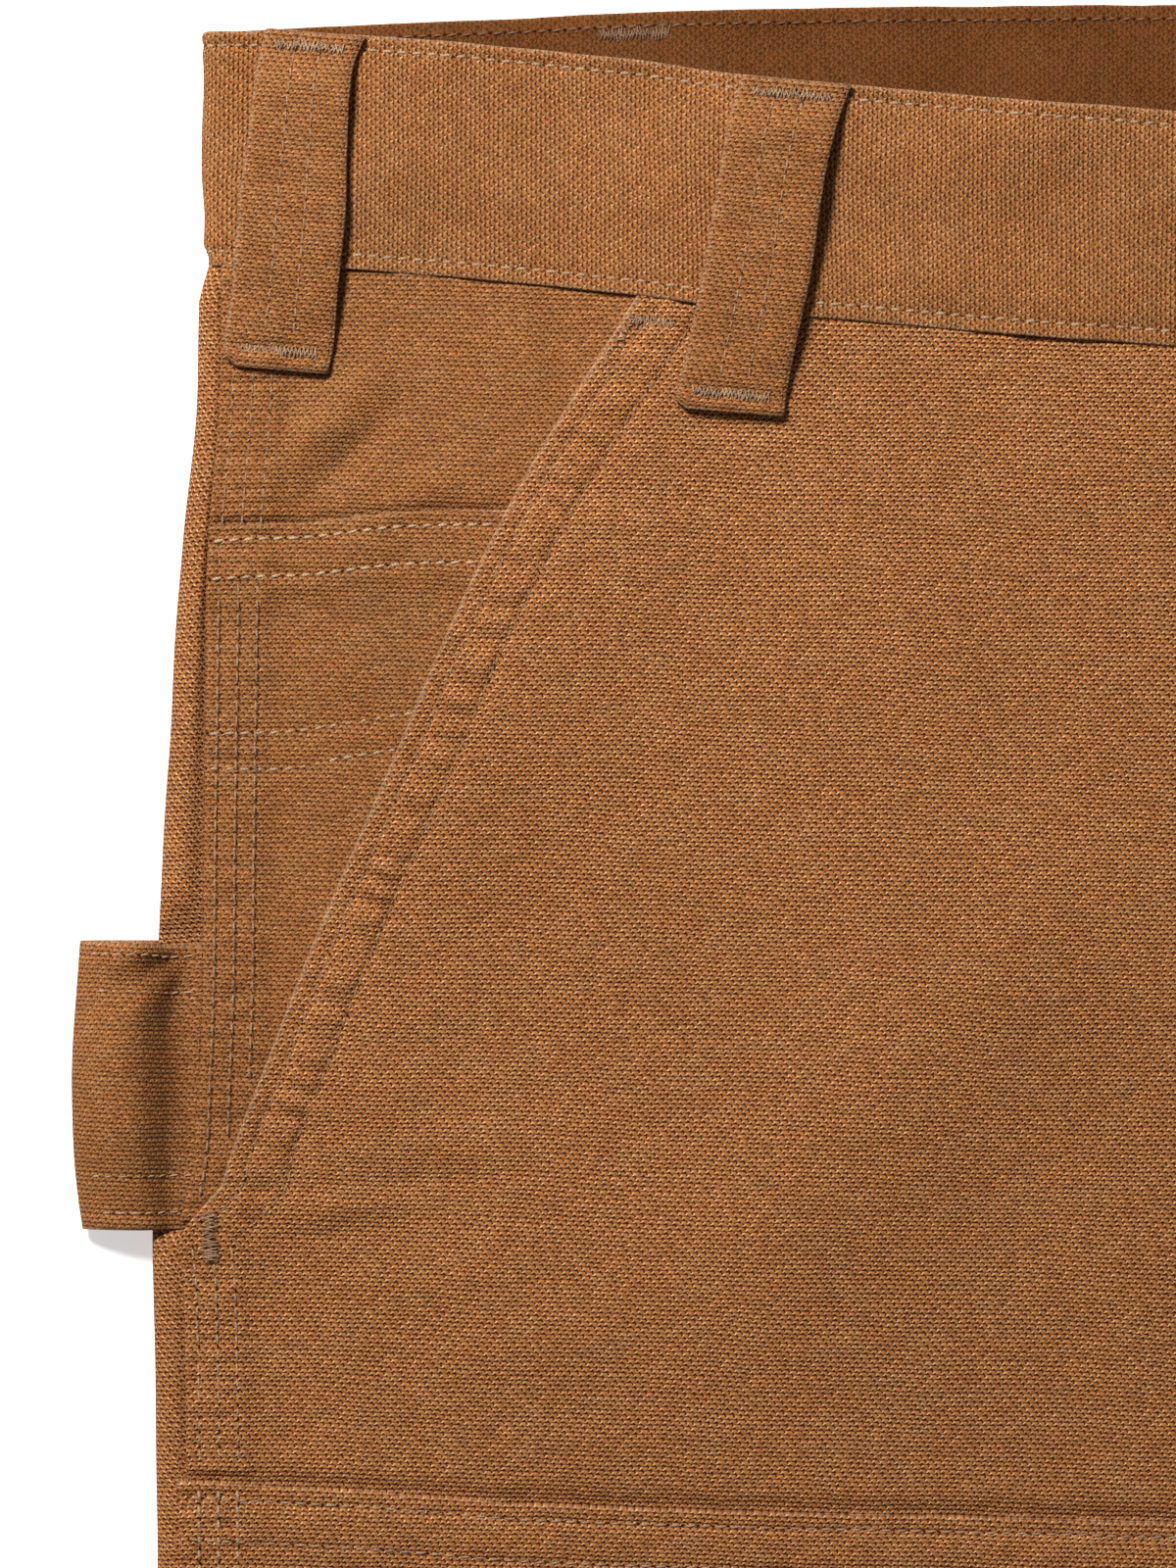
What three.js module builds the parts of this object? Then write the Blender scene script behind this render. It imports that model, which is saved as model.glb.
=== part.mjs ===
// Carpenter trousers in brown duck canvas, laid flat on a table with the front up.
// Millimetres. x runs across from the centre line, y up towards the waist, z up off the table.
// "down" is the depth below the top of the waistband at the side of the waist, and "across" the
// distance out from the centre line. side is -1 for the wearer's right leg and 1 for the left.
import * as THREE from "three";

// Driving dimensions
const LENGTH = 1080; // back waist edge to hem
const BACK_RISE = 5.6; // how far the back of the waist stands above its sides
const HEM = LENGTH - BACK_RISE; // down, at the hem
const CLOTH = 1.4; // wall of one panel
const SEAM_GAP = 0.3; // between pieces that are sewn together
const HALF_WAIST = 216;
const BAND_HEIGHT = 44.5;
const BAND_WALL = 2.4; // two layers of canvas
const BAND_PROUD = 1.0; // how far the band stands above the panels
const BAND_OVER_TABLE = 1.6; // the back of the band rests on its belt loops
const BAND_LIFT = 2.0; // height of the back panels where they meet the band
const FELL_WIDTH = 10.5; // felled side seam, measured in from its edge
const FELL_RAMP = 5;
const FELL_PROUD = 0.9;
const POCKET_PROUD = 2.0; // front panel over the hip facing, at the pocket mouth
const FACING_UNDER = 14; // hip facing behind the front panel
const FACING_END = 226; // down
const CROTCH_FRONT = 297; // down, where the front seam starts to turn under
const CROTCH_CLOSED = 318; // down, where each leg is a closed tube
const FLY_END = 190; // down
const FLY_LAP = { left: 8, right: 6 }; // each front's edge past the centre line, above the fly's end
const FLY_DROP = 1.8; // right front below the left, under the lap
const LAP_COLUMNS = [12, 26]; // across, where the right front starts to rise again and where it is up
const BAND_LAP = { left: 8, right: 32, drop: 2.8, slope: [-34, -14] };

// Where a height or a layout changes over: from and to, as a distance from the edge or as down
const RISE = [4, 110]; // from the side fold, to where the middle is fully up
const RIDGE_FADE = [4, 26]; // from either fold
const MOUTH_FADE = [15, 45]; // from the pocket mouth, to where the front panel lies down
const MOUTH_END = [228, 252]; // down, the same
const LAP_END = [206, 225]; // down, where the right front comes up from under the left
const FLY_CURVE = 13; // height of the curve at the fly's lower end
const HIP_TO_LEG = [222, 300]; // down, where the front's rows of points change over
const SEAT_TO_LEG = [290, 400]; // down, the back's
const BAND_FOLLOWED = { front: 130, back: 110, facing: 100 }; // down, where rows stop following the band

// The garment's outline and thickness, one side: the side fold, the inner leg fold, how far the
// side seam lies in from the fold, the height of the side fold, and how much more the middle rises.
const SECTIONS = [
  { down: -6, outer: 216.0, inner: 0, inset: 4.2, height: 8.4, rise: 6.2 },
  { down: 44, outer: 216.4, inner: 0, inset: 4.2, height: 8.4, rise: 6.5 },
  { down: 70, outer: 217.1, inner: 0, inset: 4.5, height: 8.2, rise: 6.2 },
  { down: 98, outer: 220.0, inner: 0, inset: 5.2, height: 8.0, rise: 5.6 },
  { down: 124, outer: 221.7, inner: 0, inset: 6.4, height: 8.0, rise: 4.8 },
  { down: 157, outer: 223.7, inner: 0, inset: 7.9, height: 8.0, rise: 3.8 },
  { down: 180, outer: 224.9, inner: 0, inset: 8.9, height: 8.0, rise: 3.2 },
  { down: 222, outer: 225.6, inner: 0, inset: 9.3, height: 8.0, rise: 2.2 },
  { down: 233, outer: 225.5, inner: 0, inset: 7.3, height: 8.0, rise: 1.9 },
  { down: 254, outer: 225.1, inner: 0, inset: 5.9, height: 7.8, rise: 1.4 },
  { down: 283, outer: 224.7, inner: 0, inset: 5.9, height: 7.4, rise: 0.7 },
  { down: 305, outer: 224.7, inner: 0, inset: 5.9, height: 7.1, rise: 0.3 },
  { down: 318, outer: 224.8, inner: 1.2, inset: 5.9, height: 6.9, rise: 0 },
  { down: 350, outer: 225.2, inner: 4.2, inset: 5.9, height: 6.8, rise: 0 },
  { down: 430, outer: 226.8, inner: 9.5, inset: 5.9, height: 6.7, rise: 0 },
  { down: 560, outer: 230.2, inner: 15, inset: 5.9, height: 6.6, rise: 0 },
  { down: 665, outer: 234.0, inner: 20, inset: 5.9, height: 6.6, rise: 0 },
  { down: 800, outer: 238.8, inner: 27, inset: 5.9, height: 6.5, rise: 0 },
  { down: 940, outer: 244.3, inner: 36, inset: 5.9, height: 6.4, rise: 0 },
  { down: HEM, outer: 250.0, inner: 45, inset: 5.9, height: 6.4, rise: 0 },
];

// Top edge of the waistband, front and back.
const FRONT_WAIST = [
  { across: 0, down: 17.0 },
  { across: 46, down: 14.6 },
  { across: 82, down: 11.6 },
  { across: 114, down: 8.7 },
  { across: 136, down: 5.6 },
  { across: 169, down: 2.2 },
  { across: 198, down: 0.1 },
  { across: 216, down: 0 },
];
const BACK_WAIST = [
  { across: 0, down: -BACK_RISE },
  { across: 60, down: -5.4 },
  { across: 97, down: -5.0 },
  { across: 134, down: -4.1 },
  { across: 164, down: -2.6 },
  { across: 193, down: -1.5 },
  { across: 216, down: -0.2 },
];

// Slanted pocket mouth: the front panel's edge, from the waistband down to the side seam.
const POCKET_MOUTH = [
  { down: 44, across: 129.5 },
  { down: 54.6, across: 136.3 },
  { down: 84.6, across: 154.9 },
  { down: 112.5, across: 168.9 },
  { down: 136.9, across: 179.3 },
  { down: 171.5, across: 194.4 },
  { down: 196, across: 204.0 },
  { down: 211, across: 209.0 },
  { down: 222, across: 212.2 },
  { down: 230, across: 217.0 },
  { down: 240, across: 222.0 },
];

// Knee patch: its top edge across the thigh, and its level bottom edge.
const PATCH_TOP = [
  { across: 0, down: 283.0 },
  { across: 45, down: 281.7 },
  { across: 150, down: 278.9 },
  { across: 222, down: 274.5 },
];
const PATCH_BOTTOM = 780;
const PATCH_OVERHANG = 1.2; // past the edge of the front panel, at the side seam

// Soft ridges in the front cloth: from one end to the other, half width and height.
const RIDGES = [
  { side: -1, across0: 14, down0: 318, across1: 128, down1: 372, width: 15, height: 1.9 },
  { side: -1, across0: 205, down0: 548, across1: 74, down1: 612, width: 18, height: 2.2 },
  { side: -1, across0: 42, down0: 676, across1: 160, down1: 716, width: 17, height: 2.0 },
  { side: -1, across0: 222, down0: 868, across1: 108, down1: 902, width: 18, height: 2.3 },
  { side: -1, across0: 52, down0: 944, across1: 150, down1: 972, width: 16, height: 1.7 },
  { side: 1, across0: 12, down0: 322, across1: 112, down1: 366, width: 14, height: 2.0 },
  { side: 1, across0: 18, down0: 380, across1: 96, down1: 446, width: 16, height: 1.4 },
  { side: 1, across0: 212, down0: 588, across1: 88, down1: 630, width: 18, height: 2.0 },
  { side: 1, across0: 36, down0: 690, across1: 158, down1: 708, width: 17, height: 2.1 },
  { side: 1, across0: 228, down0: 892, across1: 130, down1: 926, width: 18, height: 2.1 },
];

// Belt loops on the front: the middle of each at its top and at its lower end.
const LOOPS = [
  { name: "front", top: 103.3, bottom: 116.0, width: 20.5 },
  { name: "side", top: 193.6, bottom: 201.4, width: 19.4 },
];
const LOOP = { wall: 2.2, below: 19.5, bulge: 2.6, slope: 0.09, stepsDown: [0.72, 0.96] };
const BACK_LOOPS = [
  { name: "loop_back_right", x: -134 },
  { name: "loop_back_centre", x: 0 },
  { name: "loop_back_left", x: 134 },
];
const BACK_LOOP = { width: 19, wall: 1.3, below: 0.6 };

const HAMMER = {
  top: 172.2,
  bottom: 227,
  outer: 240.2,
  flare: 1.6, // how much less it reaches at its two edges
  wall: 1.8,
  crest: 11.6,
  crestAt: 229,
  lap: 30, // under the leg
};
const COIN = { wall: 1.0, over: 0.5, clear: 0.8, top: 93, bottom: 200, tilt: [1.4, -2.0] };
const BACK_POCKET = { inner: 38, outer: 168, top: 108, bottom: 262, corner: 18, wall: CLOTH };
const BUTTON = { across: 6, below: 22, radius: 8.5, height: 3.4 };

// Colours from the cloth and the button
const CANVAS = 0x9e6c42;
const METAL = 0x8a6a3c;

const ease = THREE.MathUtils.smoothstep;
const lerp = THREE.MathUtils.lerp;

// A smooth curve through one column of a table.
function curve(table, key, value) {
  const keys = table.map((row) => row[key]);
  const spline = new THREE.CubicInterpolant(keys, table.map((row) => row[value]), 1, [0]);
  return (at) => spline.evaluate(THREE.MathUtils.clamp(at, keys[0], keys.at(-1)))[0];
}

const outer = curve(SECTIONS, "down", "outer");
const inset = curve(SECTIONS, "down", "inset");
const foldHeight = curve(SECTIONS, "down", "height");
const riseCurve = curve(SECTIONS, "down", "rise");
const innerCurve = curve(SECTIONS, "down", "inner");
const frontWaist = curve(FRONT_WAIST, "across", "down");
const backWaist = curve(BACK_WAIST, "across", "down");
const pocketMouth = curve(POCKET_MOUTH, "down", "across");
const patchTop = curve(PATCH_TOP, "across", "down");

// Top edge of the band round the side fold, from the front (share 0) to the back (share 1).
const foldWaist = (share) => lerp(frontWaist(HALF_WAIST), backWaist(HALF_WAIST), share);

const yOf = (down) => HEM - LENGTH / 2 - down;
const point = (side, across, down, z) => new THREE.Vector3(side * across, yOf(down), z);
const steps = (count) => Array.from({ length: count + 1 }, (_, i) => i / count);

// 0 where the two halves meet flat at the centre, 1 where the leg is a closed tube.
const closing = (down) => ease(down, CROTCH_FRONT, CROTCH_CLOSED);

// Inner edge of a panel from the centre line: the seam above the crotch, the leg's fold below it.
const innerEdge = (down) => Math.max(SEAM_GAP / 2, innerCurve(down));

function frontInnerEdge(side, down) {
  const lap = side < 0 ? FLY_LAP.right : FLY_LAP.left;
  return lerp(-lap, innerEdge(down), ease(down, FLY_END, FLY_END + FLY_CURVE));
}

function ridgeHeight(side, across, down) {
  let height = 0;
  for (const r of RIDGES) {
    if (r.side !== side) continue;
    const along = new THREE.Vector2(r.across1 - r.across0, r.down1 - r.down0);
    const half = along.length() / 2;
    along.normalize();
    const from = new THREE.Vector2(across - (r.across0 + r.across1) / 2, down - (r.down0 + r.down1) / 2);
    const t = Math.min(1, Math.abs(from.dot(along)) / half);
    const off = from.cross(along) / r.width;
    height += r.height * Math.exp(-off * off) * Math.cos((t * Math.PI) / 2) ** 2;
  }
  return height;
}

// Height of the cloth's outer face on the upper side, before seams and pocket edges.
function plainTop(side, across, down) {
  const edge = outer(down) - across;
  const fromInner = across - innerEdge(down);
  const innerFade = closing(down) * (1 - ease(fromInner, ...RIDGE_FADE));
  const ridge = ease(edge, ...RIDGE_FADE) * (1 - innerFade) * ridgeHeight(side, across, down);
  return foldHeight(down) + riseCurve(down) * ease(edge, ...RISE) + ridge;
}

// The same with the felled side seam, as the hip facing lies.
function seamTop(side, across, down) {
  const fromSeam = outer(down) - inset(down) - across;
  const onFell = 1 - ease(fromSeam, FELL_WIDTH, FELL_WIDTH + FELL_RAMP);
  return plainTop(side, across, down) + FELL_PROUD * onFell;
}

// Outer edge of the front panel: the pocket mouth, then the side seam.
function frontEdge(down) {
  const seam = outer(down) - inset(down);
  return down < POCKET_MOUTH.at(-1).down ? Math.min(pocketMouth(down), seam) : seam;
}

function frontTop(side, across, down) {
  const fromMouth = frontEdge(down) - across;
  const overFacing = (1 - ease(fromMouth, ...MOUTH_FADE)) * (1 - ease(down, ...MOUTH_END));
  const inLap = (1 - ease(across, ...LAP_COLUMNS)) * (1 - ease(down, ...LAP_END));
  const underLap = side < 0 ? inLap : 0;
  return seamTop(side, across, down) + POCKET_PROUD * overFacing - FLY_DROP * underLap;
}

const BAND_MIDDLE = 20; // down, where the band's height is taken
const bandTop = (across) =>
  foldHeight(BAND_MIDDLE) + BAND_PROUD + riseCurve(BAND_MIDDLE) * ease(HALF_WAIST - across, ...RISE);

// Where the back panel rises over the back pocket and, on the right, over the hammer loop.
const POCKET_RISE = { inner: [24, 36], outer: [170, 178], top: [92, 106], bottom: [264, 278] };
const HAMMER_RISE = { inner: [178, 192], top: [157, 169], bottom: [230, 242] };

// Height of the back panel's outer face over the table: what lies under it lifts it.
function lift(side, across, down) {
  const up = ([from, to], at) => ease(at, from, to);
  const band = BAND_LIFT * (1 - ease(down, 62, 92));
  const pocket =
    (BACK_POCKET.wall + SEAM_GAP) *
    up(POCKET_RISE.inner, across) *
    (1 - up(POCKET_RISE.outer, across)) *
    up(POCKET_RISE.top, down) *
    (1 - up(POCKET_RISE.bottom, down));
  const overHammer = up(HAMMER_RISE.top, down) * (1 - up(HAMMER_RISE.bottom, down));
  const hammer = side < 0 ? (HAMMER.wall + SEAM_GAP) * up(HAMMER_RISE.inner, across) * overHammer : 0;
  return Math.max(band, pocket, hammer);
}

// A cloth wall from rows of points on its outer face. turn says which way the outer face looks.
function clothWall(rows, thickness, turn) {
  const height = rows.length;
  const width = rows[0].length;
  const positions = [];
  const faceAt = (i, j) => {
    const clampTo = (n, most) => Math.min(Math.max(n, 0), most);
    const du = rows[j][clampTo(i + 1, width - 1)].clone().sub(rows[j][clampTo(i - 1, width - 1)]);
    const dv = rows[clampTo(j + 1, height - 1)][i].clone().sub(rows[clampTo(j - 1, height - 1)][i]);
    return du.cross(dv).normalize().multiplyScalar(turn);
  };
  rows.forEach((row) => row.forEach((p) => positions.push(p.x, p.y, p.z)));
  rows.forEach((row, j) =>
    row.forEach((p, i) => {
      const behind = p.clone().addScaledVector(faceAt(i, j), -thickness);
      positions.push(behind.x, behind.y, behind.z);
    }),
  );
  const index = [];
  const front = (i, j) => j * width + i;
  const back = (i, j) => height * width + j * width + i;
  const quad = (a, b, c, d) => (turn > 0 ? index.push(a, b, c, a, c, d) : index.push(a, c, b, a, d, c));
  for (let j = 0; j < height - 1; j++) {
    for (let i = 0; i < width - 1; i++) {
      quad(front(i, j), front(i + 1, j), front(i + 1, j + 1), front(i, j + 1));
      quad(back(i, j), back(i, j + 1), back(i + 1, j + 1), back(i + 1, j));
    }
    quad(front(0, j), front(0, j + 1), back(0, j + 1), back(0, j));
    quad(front(width - 1, j), back(width - 1, j), back(width - 1, j + 1), front(width - 1, j + 1));
  }
  for (let i = 0; i < width - 1; i++) {
    quad(front(i, 0), back(i, 0), back(i + 1, 0), front(i + 1, 0));
    const last = height - 1;
    quad(front(i, last), front(i + 1, last), back(i + 1, last), back(i, last));
  }
  const geometry = new THREE.BufferGeometry();
  geometry.setAttribute("position", new THREE.Float32BufferAttribute(positions, 3));
  geometry.setIndex(index);
  geometry.computeVertexNormals();
  return geometry;
}

const trousers = new THREE.Group();
const canvas = () => new THREE.MeshStandardMaterial({ color: CANVAS, roughness: 0.92, metalness: 0 });

function addPiece(name, geometry, material = canvas()) {
  const mesh = new THREE.Mesh(geometry, material);
  mesh.name = name;
  trousers.add(mesh);
  return mesh;
}

const sideName = (side) => (side < 0 ? "right" : "left");

// Sheet's inner edge turning under between the legs: a quarter circle once the leg is closed.
// The circle is short by INSEAM_CLEAR, so that the front and back stay apart at the inner seam.
const INSEAM_CLEAR = 0.45;

function innerTurn(down, edge) {
  const arc = (foldHeight(down) / 2 - INSEAM_CLEAR) * (Math.PI / 2);
  const angle = Math.max(1e-3, closing(down) * (Math.PI / 2));
  return {
    start: edge + (arc * Math.sin(angle)) / angle,
    across: (f) => edge + (arc * (Math.sin(angle) - Math.sin(angle * f))) / angle,
    drop: (f) => (arc * (1 - Math.cos(angle * f))) / angle,
  };
}

// Front panel: from the pocket mouth or the side seam in to the centre seam or the inner leg.
const FRONT_ROWS = [
  50, 60, 74, 90, 108, 128, 150, 172, 190, 203, 212, 222, 230, 240, 256, 274, 290, 300, 309, 318, 330,
  350, 384, 430, 490, 550, 600, 640, 680, 720, 780, 850, 900, 950, 1010, HEM,
];

// Across, of a row's points: the seam's steps, then the fly's steps on the hips, even on the legs.
const SEAM_COLUMNS = [0, FELL_WIDTH, FELL_WIDTH + FELL_RAMP, 30];
const BESIDE_FLY = 40;

function frontColumns(down, edge, start) {
  const seam = SEAM_COLUMNS.map((from) => edge - from);
  const middle = steps(6).slice(1).map((s) => lerp(seam[3], BESIDE_FLY, s));
  const onHip = [...middle, LAP_COLUMNS[1], LAP_COLUMNS[0], start];
  const onLeg = steps(9).slice(1).map((s) => lerp(seam[3], start, s));
  return [...seam, ...onHip.map((across, i) => lerp(across, onLeg[i], ease(down, ...HIP_TO_LEG)))];
}

function frontRows(side) {
  return FRONT_ROWS.map((row) => {
    const followsBand = 1 - ease(row, FRONT_ROWS[0], BAND_FOLLOWED.front);
    const turn = innerTurn(row, frontInnerEdge(side, row));
    const bandEdge = (across) => frontWaist(Math.abs(across)) + BAND_HEIGHT + SEAM_GAP;
    const downAt = (across) => row + (bandEdge(across) - FRONT_ROWS[0]) * followsBand;
    const flat = frontColumns(row, frontEdge(row), turn.start).map((across) => {
      const down = downAt(across);
      return point(side, across, down, frontTop(side, across, down));
    });
    const turned = steps(4)
      .slice(1)
      .map((f) => {
        const across = turn.across(f);
        const down = downAt(across);
        const z = frontTop(side, lerp(turn.start, across, 1 - closing(row)), down) - turn.drop(f);
        return point(side, across, down, z);
      });
    return [...flat, ...turned];
  });
}

function frontPanel(side) {
  addPiece("front_" + sideName(side), clothWall(frontRows(side), CLOTH, side));
}

// Back panel: from the side seam on the upper side, round the fold, under the leg, to the centre.
const BACK_ROWS = [
  44, 62, 76, ...POCKET_RISE.top, 130, ...HAMMER_RISE.top, 200, ...HAMMER_RISE.bottom,
  ...POCKET_RISE.bottom, 290, 300, 309, 318, 335, 380, 450, 560, 665, 800, 940, HEM,
];

function backColumns(down, turnAt, start) {
  const { inner, outer: far } = POCKET_RISE;
  const onHip = [HAMMER_RISE.inner[1], far[1], far[0], 104, inner[1], inner[0], start];
  const onLeg = steps(7).slice(1).map((s) => lerp(turnAt, start, s));
  return onHip.map((across, i) => lerp(across, onLeg[i], ease(down, ...SEAT_TO_LEG)));
}

function backPanel(side) {
  const rows = BACK_ROWS.map((row) => {
    const followsBand = 1 - ease(row, BACK_ROWS[0], BAND_FOLLOWED.back);
    const downAt = (waist) => row + (waist + BAND_HEIGHT + SEAM_GAP - BACK_ROWS[0]) * followsBand;
    const low = lift(side, outer(row), row);
    const radius = (foldHeight(row) - low) / 2;
    const turnAt = outer(row) - radius;
    const seam = outer(row) - inset(row) + SEAM_GAP;
    const turn = innerTurn(row, innerEdge(row));
    const wrap = [seam, turnAt].map((across) =>
      point(side, across, downAt(frontWaist(across)), plainTop(side, across, row)),
    );
    const fold = steps(6)
      .slice(1)
      .map((f) => {
        const angle = f * Math.PI;
        const across = turnAt + radius * Math.sin(angle);
        const down = downAt(foldWaist((1 - Math.cos(angle)) / 2));
        return point(side, across, down, low + radius * (1 + Math.cos(angle)));
      });
    const under = backColumns(row, turnAt, turn.start).map((across) =>
      point(side, across, downAt(backWaist(across)), lift(side, across, row)),
    );
    const turned = steps(4)
      .slice(1)
      .map((f) => {
        const across = turn.across(f);
        return point(side, across, downAt(backWaist(across)), lift(side, across, row) + turn.drop(f));
      });
    return [...wrap, ...fold, ...under, ...turned];
  });
  addPiece("back_" + sideName(side), clothWall(rows, CLOTH, -side));
}

// Hip facing: shows in the pocket mouth and runs on behind the front panel.
const FACING_ROWS = [44, 56, 70, 86, 104, 124, 144, 164, 184, 204, 216, FACING_END];

function hipFacing(side) {
  const rows = FACING_ROWS.map((row) => {
    const seam = outer(row) - inset(row);
    const inEdge = pocketMouth(row) - FACING_UNDER;
    const [fell, ramp] = [FELL_WIDTH, FELL_WIDTH + FELL_RAMP];
    const flat = steps(4).slice(1).map((s) => lerp(seam - ramp, inEdge, s));
    return [seam, seam - fell, seam - ramp, ...flat].map((across) => {
      const followsBand = 1 - ease(row, FACING_ROWS[0], BAND_FOLLOWED.facing);
      const down = row + (frontWaist(across) + BAND_HEIGHT + SEAM_GAP - FACING_ROWS[0]) * followsBand;
      return point(side, across, down, seamTop(side, across, down));
    });
  });
  addPiece("hip_facing_" + sideName(side), clothWall(rows, CLOTH, side));
}

// Coin pocket: a layer on the right hip facing, from its hemmed top edge down along the mouth.
function coinPocket() {
  const side = -1;
  const rows = steps(9).map((r) => {
    const row = lerp(COIN.top, COIN.bottom, r);
    const seam = outer(row) - inset(row) - COIN.clear;
    const inEdge = pocketMouth(row) + COIN.clear;
    const narrow = (seam - inEdge) / 2;
    const fell = Math.min(FELL_WIDTH, narrow);
    const ramp = Math.min(FELL_WIDTH + FELL_RAMP, narrow * 1.5);
    const flat = steps(3).map((s) => lerp(seam - ramp, inEdge, s));
    return [seam, seam - fell, ...flat].map((across) => {
      const down = row + lerp(...COIN.tilt, (seam - across) / (seam - inEdge)) * (1 - r);
      return point(side, across, down, seamTop(side, across, down) + COIN.over + COIN.wall);
    });
  });
  addPiece("coin_pocket", clothWall(rows, COIN.wall, side));
}

// Knee patch: a second layer on the front of the leg, made from the front panel's points.
function kneePatch(side) {
  const panel = frontRows(side);
  const first = FRONT_ROWS.findIndex((row) => row > PATCH_TOP[0].down);
  const last = FRONT_ROWS.indexOf(PATCH_BOTTOM);
  const flatCount = panel[0].length - 4;
  const topRow = panel[first].map((low, i) => {
    const high = panel[first - 1][i];
    const edge = yOf(patchTop(Math.abs(low.x)));
    return high.clone().lerp(low, (high.y - edge) / (high.y - low.y));
  });
  const rows = [topRow, ...panel.slice(first, last + 1)].map((row) =>
    row.slice(0, flatCount).map((p, i) => {
      const overhang = i === 0 ? PATCH_OVERHANG : 0;
      return new THREE.Vector3(p.x + side * overhang, p.y, p.z + CLOTH + SEAM_GAP);
    }),
  );
  addPiece("knee_patch_" + sideName(side), clothWall(rows, CLOTH, side));
}

// Waistband: one strip from its under end at the fly, round the back, to its upper end.
function waistband() {
  const radius = (foldHeight(BAND_MIDDLE) + BAND_PROUD - BAND_OVER_TABLE) / 2;
  const reach = HALF_WAIST - radius;
  const drop = (x) => BAND_LAP.drop * ease(x, ...BAND_LAP.slope);
  const strip = [];
  const add = (x, z, top) => strip.push({ x, z, top });
  for (const s of steps(16)) {
    const x = lerp(BAND_LAP.right, -reach, s);
    add(x, bandTop(Math.abs(x)) - drop(x), frontWaist(Math.abs(x)));
  }
  const foldAt = (side, from, to) =>
    steps(6)
      .slice(1, -1)
      .forEach((f) => {
        const angle = lerp(from, to, f) * Math.PI;
        const share = (1 - Math.cos(angle)) / 2;
        const x = side * (reach + radius * Math.sin(angle));
        add(x, BAND_OVER_TABLE + radius * (1 + Math.cos(angle)), foldWaist(share));
      });
  foldAt(-1, 0, 1);
  for (const s of steps(16)) {
    const x = lerp(-reach, reach, s);
    add(x, BAND_OVER_TABLE, backWaist(Math.abs(x)));
  }
  foldAt(1, 1, 0);
  for (const s of steps(16)) {
    const x = lerp(reach, -BAND_LAP.left, s);
    add(x, bandTop(Math.abs(x)), frontWaist(Math.abs(x)));
  }
  const rows = steps(3).map((r) =>
    strip.map(({ x, z, top }) => new THREE.Vector3(x, yOf(top + BAND_HEIGHT * r), z)),
  );
  addPiece("waistband", clothWall(rows, BAND_WALL, 1));
}

// Belt loop on the front: level with the band's top, bulging over it, its end on the panel below.
function beltLoop(side, { name, top, bottom, width }) {
  const rows = steps(10).map((f) =>
    steps(2).map((s) => {
      const offset = (0.5 - s) * width;
      const across = lerp(top, bottom, f) + offset;
      const waist = frontWaist(lerp(top, bottom, f));
      const down = waist + f * (BAND_HEIGHT + LOOP.below) - offset * LOOP.slope;
      const onPanel = name === "front" ? frontTop(side, across, down) : seamTop(side, across, down);
      const ground = lerp(bandTop(across), onPanel, ease(f, ...LOOP.stepsDown));
      const bulge = LOOP.bulge * Math.sin(Math.PI * f) ** 2;
      return point(side, across, down, ground + SEAM_GAP + bulge + LOOP.wall);
    }),
  );
  addPiece("loop_" + name + "_" + sideName(side), clothWall(rows, LOOP.wall, side));
}

// Flat pieces on the underside, extruded up from the table.
function flatPiece(name, corners, thickness) {
  const shape = new THREE.Shape(corners.map(([x, down]) => new THREE.Vector2(x, yOf(down))));
  addPiece(name, new THREE.ExtrudeGeometry(shape, { depth: thickness, bevelEnabled: false }));
}

function backLoop({ name, x }) {
  const top = backWaist(Math.abs(x)) + BACK_LOOP.below;
  const bottom = top + BAND_HEIGHT + LOOP.below - 2 * BACK_LOOP.below;
  const half = BACK_LOOP.width / 2;
  const corners = [[x - half, bottom], [x + half, bottom], [x + half, top], [x - half, top]];
  flatPiece(name, corners, BACK_LOOP.wall);
}

function backPocket(side) {
  const { inner: near, outer: far, top, bottom, corner, wall } = BACK_POCKET;
  const corners = [
    [near, top],
    [near, bottom - corner],
    [near + corner, bottom],
    [far - corner, bottom],
    [far, bottom - corner],
    [far, top],
  ].map(([across, down]) => [side * across, down]);
  flatPiece("back_pocket_" + sideName(side), side > 0 ? corners : corners.reverse(), wall);
}

// Hammer loop: a wide strap from the right side seam, out past the fold and back under the leg.
function hammerLoop() {
  const side = -1;
  const rows = steps(5).map((r) => {
    const down = lerp(HAMMER.top, HAMMER.bottom, r);
    const reach = HAMMER.outer - HAMMER.flare * (2 * r - 1) ** 2;
    const seam = outer(down) - inset(down) + SEAM_GAP;
    const flank = plainTop(side, seam, down) + SEAM_GAP + HAMMER.wall;
    const centre = HAMMER.crest / 2;
    const upper = steps(5).map((s) => {
      const across = lerp(seam, HAMMER.crestAt, s);
      return point(side, across, down, lerp(flank, HAMMER.crest, ease(s, 0, 1)));
    });
    const nose = steps(10)
      .slice(1)
      .map((f) => {
        const angle = f * Math.PI;
        const across = HAMMER.crestAt + (reach - HAMMER.crestAt) * Math.sin(angle);
        return point(side, across, down, centre * (1 + Math.cos(angle)));
      });
    const under = steps(4)
      .slice(1)
      .map((s) => point(side, lerp(HAMMER.crestAt, outer(down) - HAMMER.lap, s), down, 0));
    return [...upper, ...nose, ...under];
  });
  addPiece("hammer_loop", clothWall(rows, HAMMER.wall, -side));
}

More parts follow.
